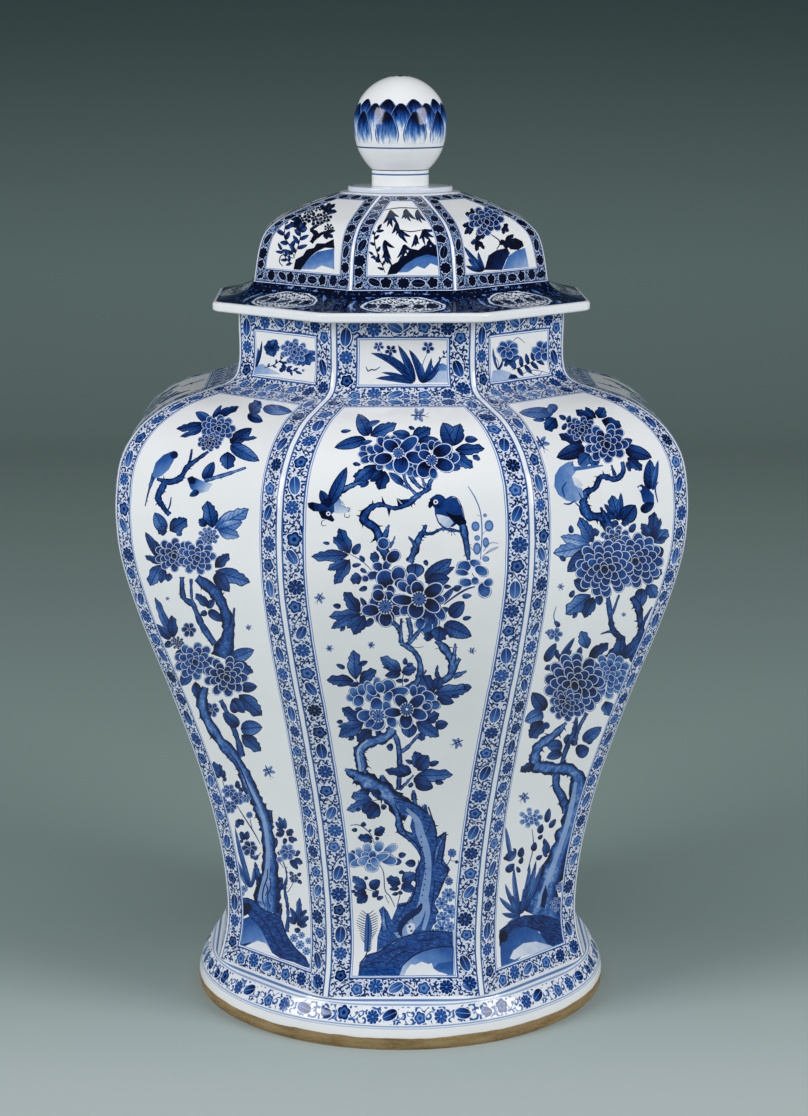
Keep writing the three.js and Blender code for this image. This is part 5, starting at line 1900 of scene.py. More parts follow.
rose_neck = Sketch(NECK_VIEW, NECK_SCALE, seed=12)
rose_neck.shape([(92, 256), (98, 226), (128, 214), (162, 236), (205, 258)], .36, WASH, .18)
rose_neck.tuft((104, 230), [(128, 122), (112, 150), (96, 182)], 14, .82, 4)
rose_neck.twig([(136, 232), (170, 222), (196, 206), (212, 190)], 20, .8, 4, 5)
rose_neck.twig([(200, 206), (230, 232), (262, 246)], 26, .8, 4, 5)
rose_neck.tuft((168, 152), [(134, 148), (152, 122), (186, 118), (200, 150), (174, 188), (146, 178)], 32, .78,
               cut=True)
rose_neck.tuft((300, 180), [(346, 168), (342, 204), (320, 222), (290, 226), (262, 222)], 30, .75, cut=True)
rose_neck.peony((256, 166), 58, .62)
for berry in ((214, 226), (206, 240), (234, 240)):
    rose_neck.dot(berry, 10, .85)
rose_neck.insect((292, 242), 10)

fern_neck = Sketch(NECK_VIEW, NECK_SCALE, seed=13)
fern_neck.shape([(1048, 290), (1050, 244), (1080, 236), (1122, 250), (1150, 276), (1120, 282)], .3, WASH, .2)
fern_neck.shape([(1112, 276), (1122, 256), (1142, 258), (1158, 276)], .85)
fern_neck.tuft((1072, 240), [(1052, 150), (1062, 182), (1090, 196)], 10, .75, 5)
fern_neck.twig([(1128, 240), (1180, 222), (1225, 196), (1240, 176)], 40, .8, 4, 11, 1.3)
fern_neck.tuft((1120, 200), [(1086, 196), (1142, 206), (1160, 184), (1096, 226), (1140, 234)], 24, .74,
               cut=True)
fern_neck.bloom((1112, 158), 26, 7, 32, .62, .8, .4)
fern_neck.bloom((1250, 164), 24, 6, 32, .62, 1, .1)
fern_neck.lines(([(1046, 180), (1070, 200), (1075, 240)], [(1160, 262), (1210, 240), (1280, 254)],
             [(1130, 130), (1150, 110), (1180, 132)], [(1200, 250), (1230, 262), (1250, 244)]), 3, .7)

# %% [markdown]
# ## The dome
# On the lid the same plants are painted in fewer and heavier strokes. Filled shapes of full
# ink make the stones, and tufts of small leaves hang from each twig.

# %% Dome pictures
willow = Sketch(DOME_VIEW, DOME_SCALE, seed=21)
willow.shape([(668, 352), (720, 318), (760, 296), (800, 284), (846, 284), (843, 330), (812, 318), (790, 338),
              (764, 328), (730, 350)], .52, WASH, .36, ((760, 290), (770, 350)))
willow.shape([(655, 360), (668, 326), (694, 312), (704, 292), (724, 290), (738, 264), (768, 270), (790, 252),
              (812, 258), (836, 248), (850, 276), (848, 298), (800, 286), (760, 298), (722, 322),
              (690, 356)], 1)
for root, tips in (((668, 126), [(640, 176), (654, 188), (676, 190), (696, 178), (700, 150)]),
                   ((722, 122), [(706, 158), (724, 160), (742, 168), (760, 160)]),
                   ((764, 124), [(768, 168), (782, 174), (796, 166)]),
                   ((702, 196), [(742, 222), (730, 246), (712, 232)]),
                   ((646, 234), [(672, 306), (652, 296), (684, 262)]),
                   ((786, 196), [(830, 196), (812, 236), (794, 254), (770, 232), (826, 224)]),
                   ((716, 250), [(690, 300), (704, 306), (730, 286), (748, 270)]),
                   ((758, 214), [(742, 262), (756, 258), (772, 250)]),
                   ((650, 268), [(636, 300), (660, 322), (676, 330)]),
                   ((690, 168), [(672, 212), (688, 218), (706, 206)]),
                   ((806, 234), [(790, 262), (812, 262), (832, 256)])):
    willow.tuft(root, tips, 12, .9, 5)
willow.twig([(648, 352), (632, 312), (606, 288)], 22, .85, 4, 5)
willow.twig([(640, 330), (616, 268), (610, 220), (622, 196)], 26, .85, 4, 6)
willow.lines(([(640, 128), (700, 118), (790, 122)], [(700, 196), (740, 204), (790, 196)],
             [(786, 196), (822, 250)]), 4, .9)

dark_branch = Sketch(DOME_VIEW, DOME_SCALE, seed=22)
dark_branch.shape([(340, 340), (372, 302), (405, 276), (466, 264), (466, 340), (420, 326), (396, 340)],
                  .5, WASH, .3, ((400, 270), (410, 340)))
dark_branch.shape([(318, 340), (326, 304), (352, 290), (366, 268), (392, 262), (402, 246), (432, 246),
                   (464, 230), (467, 264), (432, 262), (402, 276), (372, 302), (344, 342)], 1)
dark_branch.branch([(382, 244), (400, 214), (384, 196), (420, 172), (450, 160)], (16, 18, 14, 10, 8), .95, 9)
dark_branch.branch([(398, 226), (430, 206), (452, 212)], (12, 10, 6), .95)
for centre, size in (((346, 162), 34), ((394, 158), 36), ((434, 150), 30), ((404, 116), 24),
                     ((446, 190), 22), ((372, 132), 22)):
    dark_branch.peony(centre, size, .93, .8, ((7, .6), (4, .2)))
dark_branch.tuft((352, 176), [(306, 146), (300, 180), (330, 208), (352, 204)], 26, .94, cut=True)
dark_branch.tuft((430, 130), [(470, 104), (476, 132), (452, 100), (416, 96)], 18, .9, cut=True)
dark_branch.tuft((430, 206), [(470, 200), (462, 226), (440, 232)], 18, .92, cut=True)
dark_branch.twig([(322, 300), (306, 256), (286, 222), (290, 178)], 38, .7, 5, 6)
dark_branch.twig([(322, 292), (340, 240), (346, 196)], 34, .66, 4, 6)
dark_branch.twig([(316, 320), (296, 306), (276, 270)], 26, .7, 4, 5)
dark_branch.line([(318, 300), (278, 288), (268, 312), (280, 328)], 4, .75)

dark_peony = Sketch(DOME_VIEW, DOME_SCALE, seed=23)
dark_peony.shape([(1072, 340), (1092, 292), (1120, 272), (1152, 262), (1166, 332)], .5, WASH, .24,
                 ((1090, 270), (1150, 340)))
dark_peony.shape([(1006, 342), (1020, 290), (1050, 270), (1088, 262), (1098, 282), (1084, 306),
                 (1070, 342)], .85, WASH, .7)
dark_peony.shape([(1084, 252), (1094, 230), (1118, 226), (1142, 238), (1148, 256), (1128, 270),
                 (1100, 268)], 1)
dark_peony.tuft((1006, 342), [(932, 256), (946, 300), (962, 292), (984, 276), (938, 326), (990, 300)], 19,
                .66, 5)
dark_peony.line([(1030, 214), (1062, 240), (1050, 268)], 5, .9)
for root, tips in (((962, 178), [(926, 182), (934, 214), (952, 216)]),
                   ((1000, 206), [(974, 214), (966, 250), (1000, 232), (1016, 214)]),
                   ((1074, 186), [(1092, 178), (1094, 204), (1076, 214)]),
                   ((964, 146), [(936, 138), (960, 118)]),
                   ((1060, 140), [(1096, 132), (1078, 118)])):
    dark_peony.tuft(root, tips, 19, .92, cut=True)
dark_peony.tuft((1080, 236), [(1112, 214), (1116, 244), (1086, 268), (1060, 250)], 22, .94, cut=True)
dark_peony.tuft((984, 236), [(956, 246), (976, 276), (1006, 268)], 20, .9, cut=True)
dark_peony.peony((1012, 164), 66, .66, .82)

neck_art = [lilies.on(neck, 0), fern_neck.on(neck, 1), rose_neck.on(neck, 7)]
dome_art = [willow.on(dome, 0), dark_peony.on(dome, 1), dark_branch.on(dome, 7)]
print("marks on the neck and dome:", [len(art) for art in neck_art + dome_art])

# %% [markdown]
# ## The pictures to the left and right of the front
# The neighbours of the front side show at a slant. Each has its own tree, typed over the
# photograph in the same way, with whole flowers placed by their centre and size. The hidden
# sides repeat the three pictures, as such jars do.

# %% Left side
SIDE_SCALE = 4.612
LEFT_UPPER, LEFT_LOWER, LEFT_FOOT, LEFT_FOOT_SCALE = (100, 380), (100, 700), (200, 740), 5
left_art = Sketch(LEFT_UPPER, SIDE_SCALE, seed=31)
left_art.foliage((
    ((510, 190), (440, 148), 46, .75), ((500, 205), (350, 226), 44, .9), ((480, 225), (368, 262), 30, .8),
    ((520, 175), (562, 114), 24, .8), ((530, 168), (642, 122), 40, .95), ((690, 152), (742, 98), 64, .8),
    ((750, 132), (888, 146), 50, .6), ((680, 160), (752, 192), 46, .85), ((600, 292), (702, 222), 60, .9),
    ((600, 300), (736, 374), 66, .66), ((590, 330), (588, 414), 76, .8), ((640, 272), (726, 266), 24, .8)))
left_art.peony((545, 222), 84, .72, .7)
left_art.peony((505, 288), 58, .8, .7)
left_art.branch([(424, 318), (415, 370), (402, 402)], (10, 12, 16), .8)
left_art.branch([(500, 330), (455, 362), (402, 402), (370, 452), (320, 470), (262, 456)],
                (14, 18, 26, 30, 26, 16), .85, 20)
left_art.branch([(300, 470), (286, 500), (268, 542), (294, 590), (322, 622)], (34, 30, 30, 28, 22), .85, 16)
left_art.line([(328, 540), (322, 580), (306, 612)], 8, .8)
left_art.branch([(252, 430), (228, 500), (208, 582)], (26, 12, 5), .8)
left_art.shape([(240, 442), (256, 382), (292, 346), (328, 330), (352, 344), (338, 376), (318, 412),
                (286, 442), (256, 454)], .7, WASH, .42, ((262, 360), (310, 440)))
left_art.dot((342, 345), 19, .9)
left_art.leaf((480, 462), (526, 376), 52, .8, False)
left_art.branch([(480, 464), (580, 436), (674, 404)], (26, 18, 12), .62)
left_art.shape([(402, 458), (440, 450), (482, 470), (520, 478), (500, 512), (450, 526), (418, 502)], .75,
               WASH, .2, ((420, 460), (500, 510)))
left_art.shape([(402, 452), (424, 442), (446, 456), (436, 480), (412, 478)], .95)
left_art.leaf((456, 512), (412, 536), 30, .85, False)
left_art.foliage((
    ((298, 700), (252, 610), 62, .66), ((320, 696), (402, 640), 76, .82), ((310, 700), (264, 692), 46, .85),
    ((520, 684), (494, 556), 76, .72), ((526, 686), (688, 594), 78, .46), ((540, 692), (658, 654), 60, .46),
    ((545, 696), (644, 722), 56, .46), ((490, 676), (456, 640), 40, .85), ((530, 866), (596, 800), 54, .9),
    ((530, 880), (694, 934), 76, .62), ((530, 892), (598, 978), 62, .88), ((282, 826), (208, 700), 44, .85),
    ((276, 800), (250, 738), 34, .85), ((284, 846), (206, 810), 34, .85), ((280, 850), (230, 950), 70, .6),
    ((296, 866), (280, 938), 40, .85), ((322, 890), (312, 930), 36, .85), ((376, 700), (352, 716), 30, .7)))
left_art.peony((500, 722), 50, .6)
left_art.peony((338, 806), 88, .76)
left_art.peony((446, 816), 92, .72)
for path, widths, ink, spurs in (
        ([(378, 908), (384, 1000), (430, 1040), (470, 1130), (530, 1220)], (22, 24, 26, 28, 30), .8, 12),
        ([(420, 916), (424, 1010), (446, 1050)], (14, 14, 14), .75, 0),
        ([(446, 912), (536, 986), (580, 1080), (592, 1170), (556, 1280)], (44, 56, 52, 62, 90), .8, 26),
        ([(620, 1050), (612, 1110), (600, 1160)], (8, 20, 34), .85, 10)):
    left_art.branch(path, widths, ink, spurs)
left_art.foliage((
    ((502, 1046), (440, 984), 44, .82), ((500, 1062), (566, 1114), 44, .85),
    ((494, 1052), (528, 1010), 36, .85), ((494, 1070), (462, 1084), 30, .85),
    ((334, 1190), (252, 1000), 40, .66), ((326, 1196), (252, 1124), 40, .85),
    ((340, 1190), (330, 1084), 50, .85), ((330, 1210), (296, 1230), 34, .9),
    ((600, 1290), (712, 1244), 66, .6), ((610, 1302), (708, 1350), 56, .8),
    ((650, 1420), (726, 1414), 50, .88), ((640, 1450), (748, 1548), 78, .76),
    ((610, 1470), (668, 1536), 52, .86), ((390, 1300), (344, 1330), 40, .86),
    ((410, 1350), (378, 1410), 56, .76), ((440, 1390), (450, 1474), 46, .86),
    ((380, 1240), (346, 1290), 34, .86)))
left_art.bloom((410, 1152), 20, 6, 26, .8)
left_art.peony((356, 1212), 34, .85)
left_art.peony((436, 1296), 98, .7)
left_art.peony((580, 1368), 104, .8)
left_art.insect((310, 1008), 14, 1)
left_art.insect((684, 1142), 20, .4)
left_art.view(LEFT_LOWER, SIDE_SCALE)
left_art.branch([(556, 0), (600, 90), (640, 200), (652, 262)], (20, 24, 26, 34), .8)
left_art.foliage((
    ((640, 122), (566, 58), 56, .82), ((648, 132), (750, 126), 74, .62),
    ((652, 160), (744, 236), 64, .76), ((630, 60), (604, 10), 40, .85)))
left_art.bloom((516, 46), 20, 6, 26, .7)

# %% Left side: foot of the tree
left_art.view(LEFT_FOOT, LEFT_FOOT_SCALE)
left_art.tuft((256, 738), [(174, 432), (170, 568), (268, 636), (200, 656), (214, 600)], 22, .62, 6)
for path, widths in (([(352, 425), (347, 385), (352, 350)], (32, 28, 20)),
                     ([(362, 545), (377, 512), (374, 490)], (26, 28, 16)),
                     ([(378, 770), (396, 725), (402, 686)], (44, 38, 24)),
                     ([(384, 890), (392, 850), (398, 814)], (44, 36, 22)),
                     ([(304, 720), (286, 660), (275, 610)], (46, 30, 8)),
                     ([(412, 600), (430, 650), (433, 700), (424, 750), (436, 820), (440, 880), (434, 960)],
                      (5, 8, 10, 14, 16, 16, 24)),
                     ([(432, 690), (412, 745), (392, 742)], (8, 9, 5))):
    left_art.branch(path, widths, .8, 10)
left_art.branch([(27, -265), (10, -200), (25, -124), (91, -10), (160, 70), (212, 150), (250, 240), (290, 320),
                 (322, 400), (338, 470), (346, 560), (350, 660), (338, 760), (330, 860)],
                (38, 54, 54, 54, 54, 56, 62, 66, 70, 70, 76, 90, 116, 130), .62, 22)
left_art.branch([(212, 158), (258, 254), (300, 340), (328, 440), (339, 540), (337, 640), (318, 740),
                (306, 806)], (8, 12, 16, 20, 20, 24, 36, 38), .36, kind=FILL)
left_art.lines(([(338, 645), (336, 690), (320, 735), (312, 790), (326, 832)],
             [(350, 690), (354, 735), (338, 780), (350, 836)], [(330, 720), (338, 750), (326, 780)],
             [(150, 62), (205, 150), (240, 236), (280, 330)]), 7, .92)
left_art.shape([(205, 868), (250, 880), (300, 940), (340, 1010), (368, 1068), (300, 1052), (205, 1034)],
               .66, WASH, .3, ((240, 890), (280, 1060)))
left_art.shape([(205, 985), (245, 982), (264, 1008), (230, 1030), (205, 1034)], .86)
left_art.shape([(262, 1022), (288, 1004), (330, 1018), (360, 1064), (300, 1052), (240, 1038)], .03)
left_art.shape([(205, 788), (240, 788), (275, 808), (320, 850), (360, 868), (400, 888), (420, 930),
                (436, 976), (455, 1012), (490, 1050), (530, 1085), (554, 1142), (520, 1134), (470, 1112),
                (400, 1092), (360, 1064), (330, 1000), (300, 940), (252, 890), (236, 866), (205, 852)],
                .78, ROCK)
left_art.shape([(205, 818), (246, 812), (264, 842), (242, 870), (205, 864)], .97)
left_art.lines(([(262, 850), (330, 920), (370, 1000), (420, 1070)], [(330, 870), (390, 950), (430, 1040)],
             [(205, 790), (260, 800), (320, 850), (400, 890), (440, 990), (552, 1130)]), 7, .92)
left_art.foliage((
    ((100, 184), (66, 106), 40, .78), ((104, 186), (96, 118), 34, .82), ((98, 192), (64, 150), 28, .74),
    ((116, 192), (120, 150), 24, .86), ((118, 208), (130, 186), 22, .86), ((192, 246), (184, 202), 30, .9),
    ((212, 264), (198, 236), 26, .86), ((222, 262), (234, 238), 26, .84), ((236, 300), (246, 274), 22, .84),
    ((196, 392), (184, 442), 32, .8), ((205, 394), (216, 428), 24, .84), ((222, 502), (203, 456), 34, .88),
    ((232, 502), (238, 454), 30, .84), ((216, 512), (200, 500), 20, .84), ((262, 566), (262, 596), 26, .74),
    ((272, 602), (292, 574), 22, .72), ((414, 448), (376, 408), 26, .72), ((420, 444), (394, 382), 30, .72),
    ((426, 446), (422, 388), 22, .66), ((422, 470), (376, 474), 32, .86), ((424, 462), (382, 446), 22, .8),
    ((436, 480), (462, 444), 38, .92), ((440, 488), (488, 502), 26, .86), ((428, 490), (420, 524), 24, .86),
    ((446, 490), (468, 516), 22, .82), ((466, 578), (502, 556), 30, .8), ((470, 594), (514, 618), 34, .8),
    ((452, 598), (490, 648), 32, .86), ((408, 572), (386, 560), 22, .8), ((464, 680), (450, 656), 22, .86),
    ((486, 700), (510, 718), 22, .84), ((488, 680), (506, 664), 20, .8), ((490, 934), (498, 786), 36, .72),
    ((486, 904), (450, 836), 28, .8), ((480, 922), (442, 884), 32, .82), ((500, 884), (534, 848), 26, .86),
    ((500, 912), (544, 882), 34, .8), ((494, 926), (538, 926), 30, .8), ((488, 938), (486, 968), 32, .86)))
for spot, reach, size, ink in (((145, 256), 19, 28, .62), ((190, 292), 19, 28, .66),
                               ((150, 336), 18, 27, .68), ((112, 304), 12, 20, .66),
                               ((230, 292), 12, 19, .6), ((248, 542), 22, 31, .82),
                               ((437, 562), 23, 33, .54), ((470, 692), 12, 19, .8)):
    left_art.bloom(spot, reach, 6, size, ink)
for spot, size, ink in (((247, 375), 18, .8), ((398, 598), 16, .7), ((222, 744), 19, .66),
                        ((211, 768), 14, .66), ((470, 990), 22, .6), ((508, 976), 18, .56),
                        ((500, 1024), 24, .6), ((532, 1056), 22, .6), ((543, 1004), 18, .56)):
    left_art.aster(spot, size, 8, ink)
left_art.lines(([(112, 205), (124, 240)], [(186, 330), (230, 400), (270, 462), (302, 522)],
             [(250, 395), (262, 450)], [(254, 572), (276, 596), (306, 560)], [(398, 612), (420, 640)],
             [(470, 708), (440, 760)]), 6, .85)
left_art.insect((340, 155), 42, 1.2)
left_body_art = left_art.on(body, 7)
print("left marks:", len(left_art.marks))

# %% [markdown]
# ## The right side
# This tree carries the fullest flowers. Five rings of petals make one of them, and each ring
# is turned a little, because a painter never sets two rows of petals in line.

# %% Right side
RIGHT_UPPER, RIGHT_LOWER = (480, 380), (470, 700)
FULL_RINGS = (13, .84), (11, .64), (9, .44), (6, .24), (2, .06)
right_art = Sketch(RIGHT_UPPER, SIDE_SCALE, seed=41)
right_art.foliage((
    ((340, 152), (178, 150), 54, .66), ((345, 150), (318, 112), 56, .64), ((352, 176), (300, 230), 72, .86),
    ((300, 184), (242, 184), 20, .7), ((524, 184), (440, 138), 46, .92), ((536, 178), (484, 124), 30, .9),
    ((545, 176), (572, 126), 60, .84), ((560, 184), (654, 216), 54, .93), ((474, 292), (362, 250), 50, .95),
    ((484, 310), (352, 358), 74, .95), ((506, 338), (456, 394), 76, .72), ((520, 345), (536, 400), 56, .76),
    ((650, 296), (704, 276), 40, .85), ((656, 300), (716, 312), 34, .85), ((670, 318), (794, 358), 66, .86),
    ((680, 356), (748, 418), 52, .88), ((676, 376), (694, 424), 24, .85)))
for spot in ((380, 172), (410, 180), (436, 186), (390, 214)):
    right_art.bud(spot, 15, .9)
right_art.peony((468, 226), 72, .8, .8)
right_art.peony((582, 292), 106, .82, .86)
right_art.insect((280, 290), 48, 1.1)
right_art.branch([(606, 392), (622, 440)], (10, 20), .85)
right_art.branch([(656, 376), (660, 424), (624, 458), (560, 446), (530, 498), (486, 522), (478, 574),
                  (502, 624), (560, 636), (604, 694)], (16, 26, 28, 26, 28, 34, 42, 46, 46, 44), .86, 24)
right_art.branch([(556, 586), (570, 616), (590, 656)], (8, 26, 34), .88, 10)
right_art.shape([(418, 374), (434, 392), (444, 420), (424, 446), (440, 484), (470, 500), (478, 540),
                 (440, 566), (398, 556), (360, 528), (342, 490), (345, 440), (366, 404), (394, 384)], .5,
                 WASH, .36, ((350, 460), (450, 470)))
right_art.shape([(424, 446), (450, 452), (476, 486), (458, 500), (436, 484)], .05, WASH, .2)
right_art.branch([(430, 410), (490, 404), (568, 394)], (20, 16, 6), .55, 0, FILL)
right_art.lines(([(440, 556), (412, 572), (386, 570)], [(440, 566), (470, 590), (490, 580)],
             [(456, 520), (476, 560)], [(400, 470), (380, 500), (392, 540)], [(428, 374), (424, 396)]), 9,
             .72)
right_art.leaf((782, 506), (784, 364), 60, .82, False)
right_art.leaf((796, 510), (822, 368), 26, .7, False)
right_art.shape([(724, 492), (746, 480), (776, 500), (802, 530), (804, 572), (776, 586), (750, 560),
                (742, 524)], .9, WASH, .6, ((730, 490), (800, 580)))
right_art.dot((738, 500), 9, .04)
right_art.leaf((742, 606), (804, 566), 46, .95, False)
right_art.line([(822, 470), (808, 500), (820, 564)], 8, .7)
right_art.foliage((
    ((640, 650), (608, 530), 66, .74), ((646, 648), (650, 518), 30, .8), ((656, 652), (718, 576), 84, .86),
    ((632, 640), (586, 602), 46, .8), ((622, 622), (572, 572), 30, .8), ((650, 664), (690, 654), 34, .92),
    ((640, 664), (602, 660), 34, .92), ((522, 752), (458, 632), 66, .68), ((540, 722), (526, 682), 36, .8),
    ((512, 762), (336, 800), 84, .44), ((508, 752), (370, 722), 56, .44), ((502, 788), (402, 886), 76, .76),
    ((500, 806), (480, 856), 34, .8), ((792, 740), (804, 606), 62, .9), ((784, 728), (744, 660), 44, .86),
    ((800, 752), (868, 690), 66, .64), ((804, 744), (834, 636), 28, .85), ((806, 770), (830, 826), 66, .9),
    ((790, 920), (838, 872), 44, .86), ((772, 940), (812, 1006), 66, .7), ((746, 960), (738, 1052), 60, .74),
    ((820, 740), (866, 726), 24, .85), ((504, 962), (432, 922), 66, .92), ((512, 990), (394, 1082), 84, .6),
    ((524, 1000), (480, 1098), 60, .88), ((546, 994), (552, 1040), 40, .85),
    ((446, 1072), (428, 1100), 22, .8)))
for spot, size in (((420, 688), 16), ((380, 822), 15), ((425, 986), 16), ((704, 682), 20)):
    right_art.bud(spot, size, .8)
right_art.branch([(590, 1000), (600, 1080), (612, 1150), (650, 1206), (600, 1290)], (22, 26, 28, 44, 56),
                 .84, 18)
right_art.branch([(642, 990), (610, 1080)], (10, 14), .8)
right_art.branch([(556, 1172), (600, 1160), (640, 1170)], (5, 14, 12), .85)
right_art.branch([(700, 1000), (730, 1050), (738, 1110), (740, 1168), (684, 1250)], (30, 38, 34, 30, 34),
                 .86, 26)
right_art.branch([(794, 1046), (764, 1100), (744, 1150)], (5, 14, 18), .85)
right_art.peony((624, 738), 76, .72)
right_art.peony((716, 832), 118, .76, .98, FULL_RINGS)
right_art.peony((574, 868), 124, .76, .98, FULL_RINGS)
right_art.insect((372, 952), 22, 2)
right_art.insect((662, 1082), 16, .6)
right_art.foliage((
    ((496, 1240), (466, 1156), 60, .64), ((500, 1284), (594, 1212), 56, .93),
    ((362, 1300), (438, 1186), 28, .86), ((372, 1290), (424, 1246), 28, .86),
    ((362, 1290), (350, 1240), 26, .86), ((300, 1300), (352, 1212), 44, .8),
    ((296, 1334), (346, 1316), 30, .86), ((640, 1290), (652, 1184), 66, .86),
    ((656, 1282), (752, 1188), 56, .76), ((690, 1282), (722, 1240), 34, .8),
    ((690, 1296), (718, 1280), 30, .8), ((300, 1524), (240, 1440), 72, .9),
    ((580, 1480), (602, 1550), 62, .7), ((620, 1440), (652, 1420), 34, .8),
    ((660, 1340), (680, 1300), 30, .8)))
for spot, size in (((355, 1124), 15), ((460, 1250), 17), ((434, 1286), 13)):
    right_art.bud(spot, size, .85)
right_art.line([(352, 1044), (340, 1090), (352, 1130), (345, 1170)], 5, .6)
right_art.bloom((348, 1174), 20, 5, 24, .6)
right_art.bloom((316, 1166), 8, 4, 14, .6)
right_art.peony((600, 1366), 96, .55, 1.05, ((12, .82), (10, .58), (7, .34), (4, .12)))
right_art.peony((436, 1404), 128, .82, 1.05, FULL_RINGS)
right_art.peony((400, 1500), 84, .78, .9)
right_art.view(RIGHT_LOWER, SIDE_SCALE)
right_art.foliage((
    ((338, 58), (252, 100), 66, .58), ((338, 96), (274, 176), 72, .88), ((620, 10), (642, 74), 52, .7),
    ((520, 190), (608, 124), 56, .68), ((488, 246), (550, 222), 66, .86), ((428, 212), (354, 212), 62, .74),
    ((440, 206), (456, 156), 34, .88), ((424, 240), (352, 268), 46, .8), ((540, 204), (570, 180), 22, .8),
    ((468, 210), (492, 184), 30, .9)))
right_art.dot((352, 118), 17, .8)
right_art.branch([(540, 60), (502, 130), (484, 206)], (18, 18, 20), .78)
right_art.branch([(492, 80), (478, 150), (442, 230), (424, 296)], (16, 22, 22, 26), .8)
right_art.branch([(400, 336), (398, 400), (424, 446), (446, 520)], (34, 34, 46, 40), .72, 20)
right_art.branch([(444, 104), (390, 160), (316, 214), (300, 268), (306, 304), (380, 316), (462, 322),
                  (500, 372), (488, 460), (458, 570), (416, 690), (366, 830), (312, 990)],
                  (14, 36, 48, 52, 60, 56, 60, 70, 72, 74, 88, 112, 170), .6, 22)
right_art.leaf((300, 296), (230, 330), 46, .96)
right_art.line([(488, 380), (470, 480), (440, 600), (400, 720), (340, 880), (310, 960)], 22, .34)
right_art.shape([(350, 850), (358, 900), (344, 962), (326, 952), (332, 900)], .9)
right_art.leaf((188, 730), (164, 584), 22, .6, False)
right_art.line([(286, 596), (292, 680), (264, 790)], 5, .8)
right_art.peony((280, 544), 58, .46, .8, ((7, .74), (6, .44), (3, .12)))
right_art.leaf((352, 566), (366, 498), 30, .8, False)
right_art.leaf((366, 590), (396, 548), 26, .8, False)
for spot, size, ink in (((326, 594), 19, .9), ((325, 632), 12, .9), ((346, 656), 15, .9),
                        ((296, 676), 18, .9), ((352, 682), 24, .8), ((236, 702), 20, .88),
                        ((236, 740), 14, .88), ((320, 726), 14, .88), ((346, 712), 12, .88),
                        ((186, 774), 22, .86), ((222, 782), 13, .88), ((206, 690), 8, .88),
                        ((168, 728), 12, .88), ((190, 718), 26, .74)):
    right_art.bud(spot, size, ink)
right_art.tuft((232, 988), [(134, 908), (162, 846), (202, 764), (246, 868), (276, 752), (146, 984),
                            (306, 736), (244, 906), (170, 1030), (334, 756), (196, 900)], 26, .68, 8)
right_art.insect((250, 446), 34, 2.4)
right_art.peony((424, 866), 30, .55)
right_art.peony((408, 944), 40, .6)
right_art.shape([(140, 1104), (170, 1062), (232, 1034), (300, 1056), (344, 1096), (376, 1138),
                 (330, 1160), (240, 1180), (184, 1236), (146, 1250)], .74, WASH, .5,
                 ((160, 1080), (300, 1200)))
right_art.shape([(184, 1192), (200, 1156), (246, 1122), (304, 1114), (362, 1152), (312, 1170),
                (250, 1176), (206, 1198)], .05, WASH, .3)
right_art.shape([(135, 1062), (190, 1020), (250, 992), (330, 990), (384, 1002), (424, 1020), (444, 1064),
                 (452, 1130), (400, 1148), (352, 1122), (320, 1070), (260, 1044), (200, 1060),
                 (160, 1100), (136, 1140)], .84, ROCK)
right_art.dot((154, 1090), 22, .98, 1.3)
right_body_art = right_art.on(body, 1)
print("right marks:", len(right_art.marks))

# %% [markdown]
# ## Putting the pieces together
# The real jar was assembled from its sections while the clay was damp, and then painted and
# glazed as one. Here each section is made with its pictures already in its net. The order
# of the three pictures round the jar keeps two of a kind apart, and some are mirrored.

# %% Build the pieces
ROUND = (0, 1, 0, 2, 0, 1, 0, 2)
MIRRORED = 2, 5, 6
FLOOR_EDGE, PLINTH_EDGE, STEM_EDGE = 0.8, 1.2, 0.5
body_art = [front_art, right_body_art, left_body_art]
for side in range(SIDES):
    body_side(f"body_side_{side}", side, body_art[ROUND[side]], side in MIRRORED, body_glaze)
neck_piece([neck_art[number] for number in ROUND], [neck_glaze, clear_glaze, bare_clay])
foot_piece([foot_glaze, clear_glaze, foot_clay])
flange_piece([flange_glaze, clear_glaze, bare_clay])
dome_piece([dome_art[number] for number in ROUND], [dome_glaze, clear_glaze])
collar_piece([bare_clay])
floor_flat = BODY_BOTTOM_FLAT - POCKET_WALL - LUTING_GAP
turned_piece("floor_disc", disc_runs(floor_flat, FOOT_TOP - FLOOR, FOOT_TOP, FLOOR_EDGE),
             [clear_glaze], "vase", ["base_disc"], "plain_glaze")
turned_piece("plinth_disc", disc_runs(PLINTH_RADIUS, PLINTH, STEM, PLINTH_EDGE),
             [plinth_glaze], "lid", ["knob_plinth"], "plain_glaze")
turned_piece("stem_disc", disc_runs(STEM_RADIUS, STEM, KNOB, STEM_EDGE), [stem_glaze], "lid",
             ["knob_stem"], "plain_glaze")
knob_piece([knob_glaze, clear_glaze])

# %% [markdown]
# ## Floor and light
# The vase stood on grey paper that sweeps up behind it. Two large soft lamps lit it from
# either side, and their reflections lie as pale upright strips on the glaze.

# %% A lamp and a sheet of paper
scene = bpy.context.scene
scene.view_settings.view_transform = 'Standard'


def area_lamp(name, place, target, width, height, power):
    """A soft rectangular lamp whose face looks from its place to the target."""
    lamp = bpy.data.lights.new(name, 'AREA')
    lamp.shape, lamp.size, lamp.size_y = 'RECTANGLE', width, height
    lamp.energy = power
    thing = bpy.data.objects.new(name, lamp)
    scene.collection.objects.link(thing)
    thing.location = place
    thing.rotation_euler = (Vector(target) - Vector(place)).to_track_quat('-Z', 'Y').to_euler()
    return thing


PAPER_REACH, PAPER_HEIGHT, BEND_START, BEND = 9.0, 5.0, 2.2, 1.2


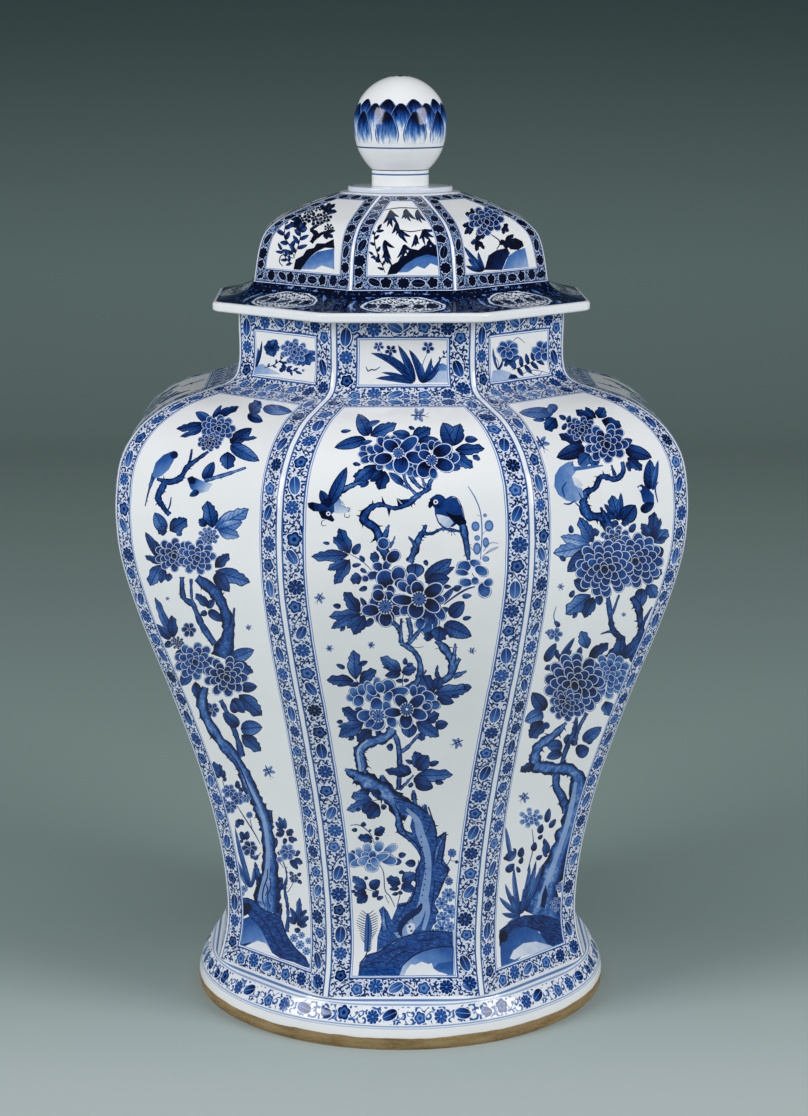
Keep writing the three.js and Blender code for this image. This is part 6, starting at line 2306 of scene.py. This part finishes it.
def sweep_sheet(name, material):
    """A paper sweep: flat on the floor, then a quarter circle up into the wall behind."""
    turn = np.linspace(0, np.pi / 2, 24)
    depth = np.concatenate([[-PAPER_REACH], BEND_START + BEND * np.sin(turn), [BEND_START + BEND]])
    height = np.concatenate([[0.0], BEND - BEND * np.cos(turn), [PAPER_HEIGHT]])
    across = np.linspace(-PAPER_REACH, PAPER_REACH, 3)
    x, y = np.meshgrid(across, depth)
    z = np.repeat(height[:, None], 3, 1)
    points = np.stack([x, y, z], -1).reshape(-1, 3)
    mesh = bpy.data.meshes.new(name)
    mesh.from_pydata(points, [], grid_triangles(len(depth), 3))
    mesh.polygons.foreach_set("use_smooth", np.ones(len(mesh.polygons), bool))
    mesh.materials.append(material)
    sheet = bpy.data.objects.new(name, mesh)
    scene.collection.objects.link(sheet)

# %% The paper, with painted shade that darkens it towards the back and up the wall
paper, paper_tree, paper_shader, paper_place = new_material("backdrop_paper")
paper_shade_ramp = colour_ramp(paper_tree, [
    (0, (0.43, 0.49, 0.485, 1)), (0.4, (0.26, 0.342, 0.322, 1)), (0.63, (0.22, 0.305, 0.288, 1)),
    (1, (0.066, 0.102, 0.102, 1))])
_, depth, height = paper_place.parts()
# Painted shade: the paper is one grey, and this ramp darkens it behind the vase, further back and up the
# wall, where the lamps' light falls off.
put(paper_tree, depth.step(-0.25, 0.16) * 0.4 + depth.step(1.6, 3.4) * 0.25
    + height.step(0.1, 0.8) * 0.35, paper_shade_ramp, "Fac")
paper_tree.links.new(paper_shade_ramp.outputs["Color"], paper_shader.inputs["Base Color"])
paper_shader.inputs["Roughness"].default_value = 0.95
paper_shader.inputs["Specular IOR Level"].default_value = 0.08
sweep_sheet("paper_sweep", paper)

# %% Lamps and sky
SIDE_LAMP, SIDE_WATTS, SIDE_TARGET = (1.75, -1.1, 1.15), (34, 32), (0, 0, 0.34)
area_lamp("lamp_left", (-SIDE_LAMP[0], *SIDE_LAMP[1:]), SIDE_TARGET, 0.9, 1.3, SIDE_WATTS[0])
area_lamp("lamp_right", SIDE_LAMP, SIDE_TARGET, 0.9, 1.3, SIDE_WATTS[1])
lamp_top = area_lamp("lamp_top", (0, -0.5, 2.2), (0, 0, 0.3), 1.4, 1.4, 3.5)
lamp_top.visible_glossy = False
world = bpy.data.worlds.new("studio")
scene.world = world
world.use_nodes = True
sky_tree, sky = world.node_tree, world.node_tree.nodes["Background"]
sky.inputs["Color"].default_value = (0.9, 0.95, 1.0, 1)
glossy = Wire(sky_tree, sky_tree.nodes.new("ShaderNodeLightPath").outputs["Is Glossy Ray"])
put(sky_tree, glossy.mix(0.27, 0.1), sky, "Strength")
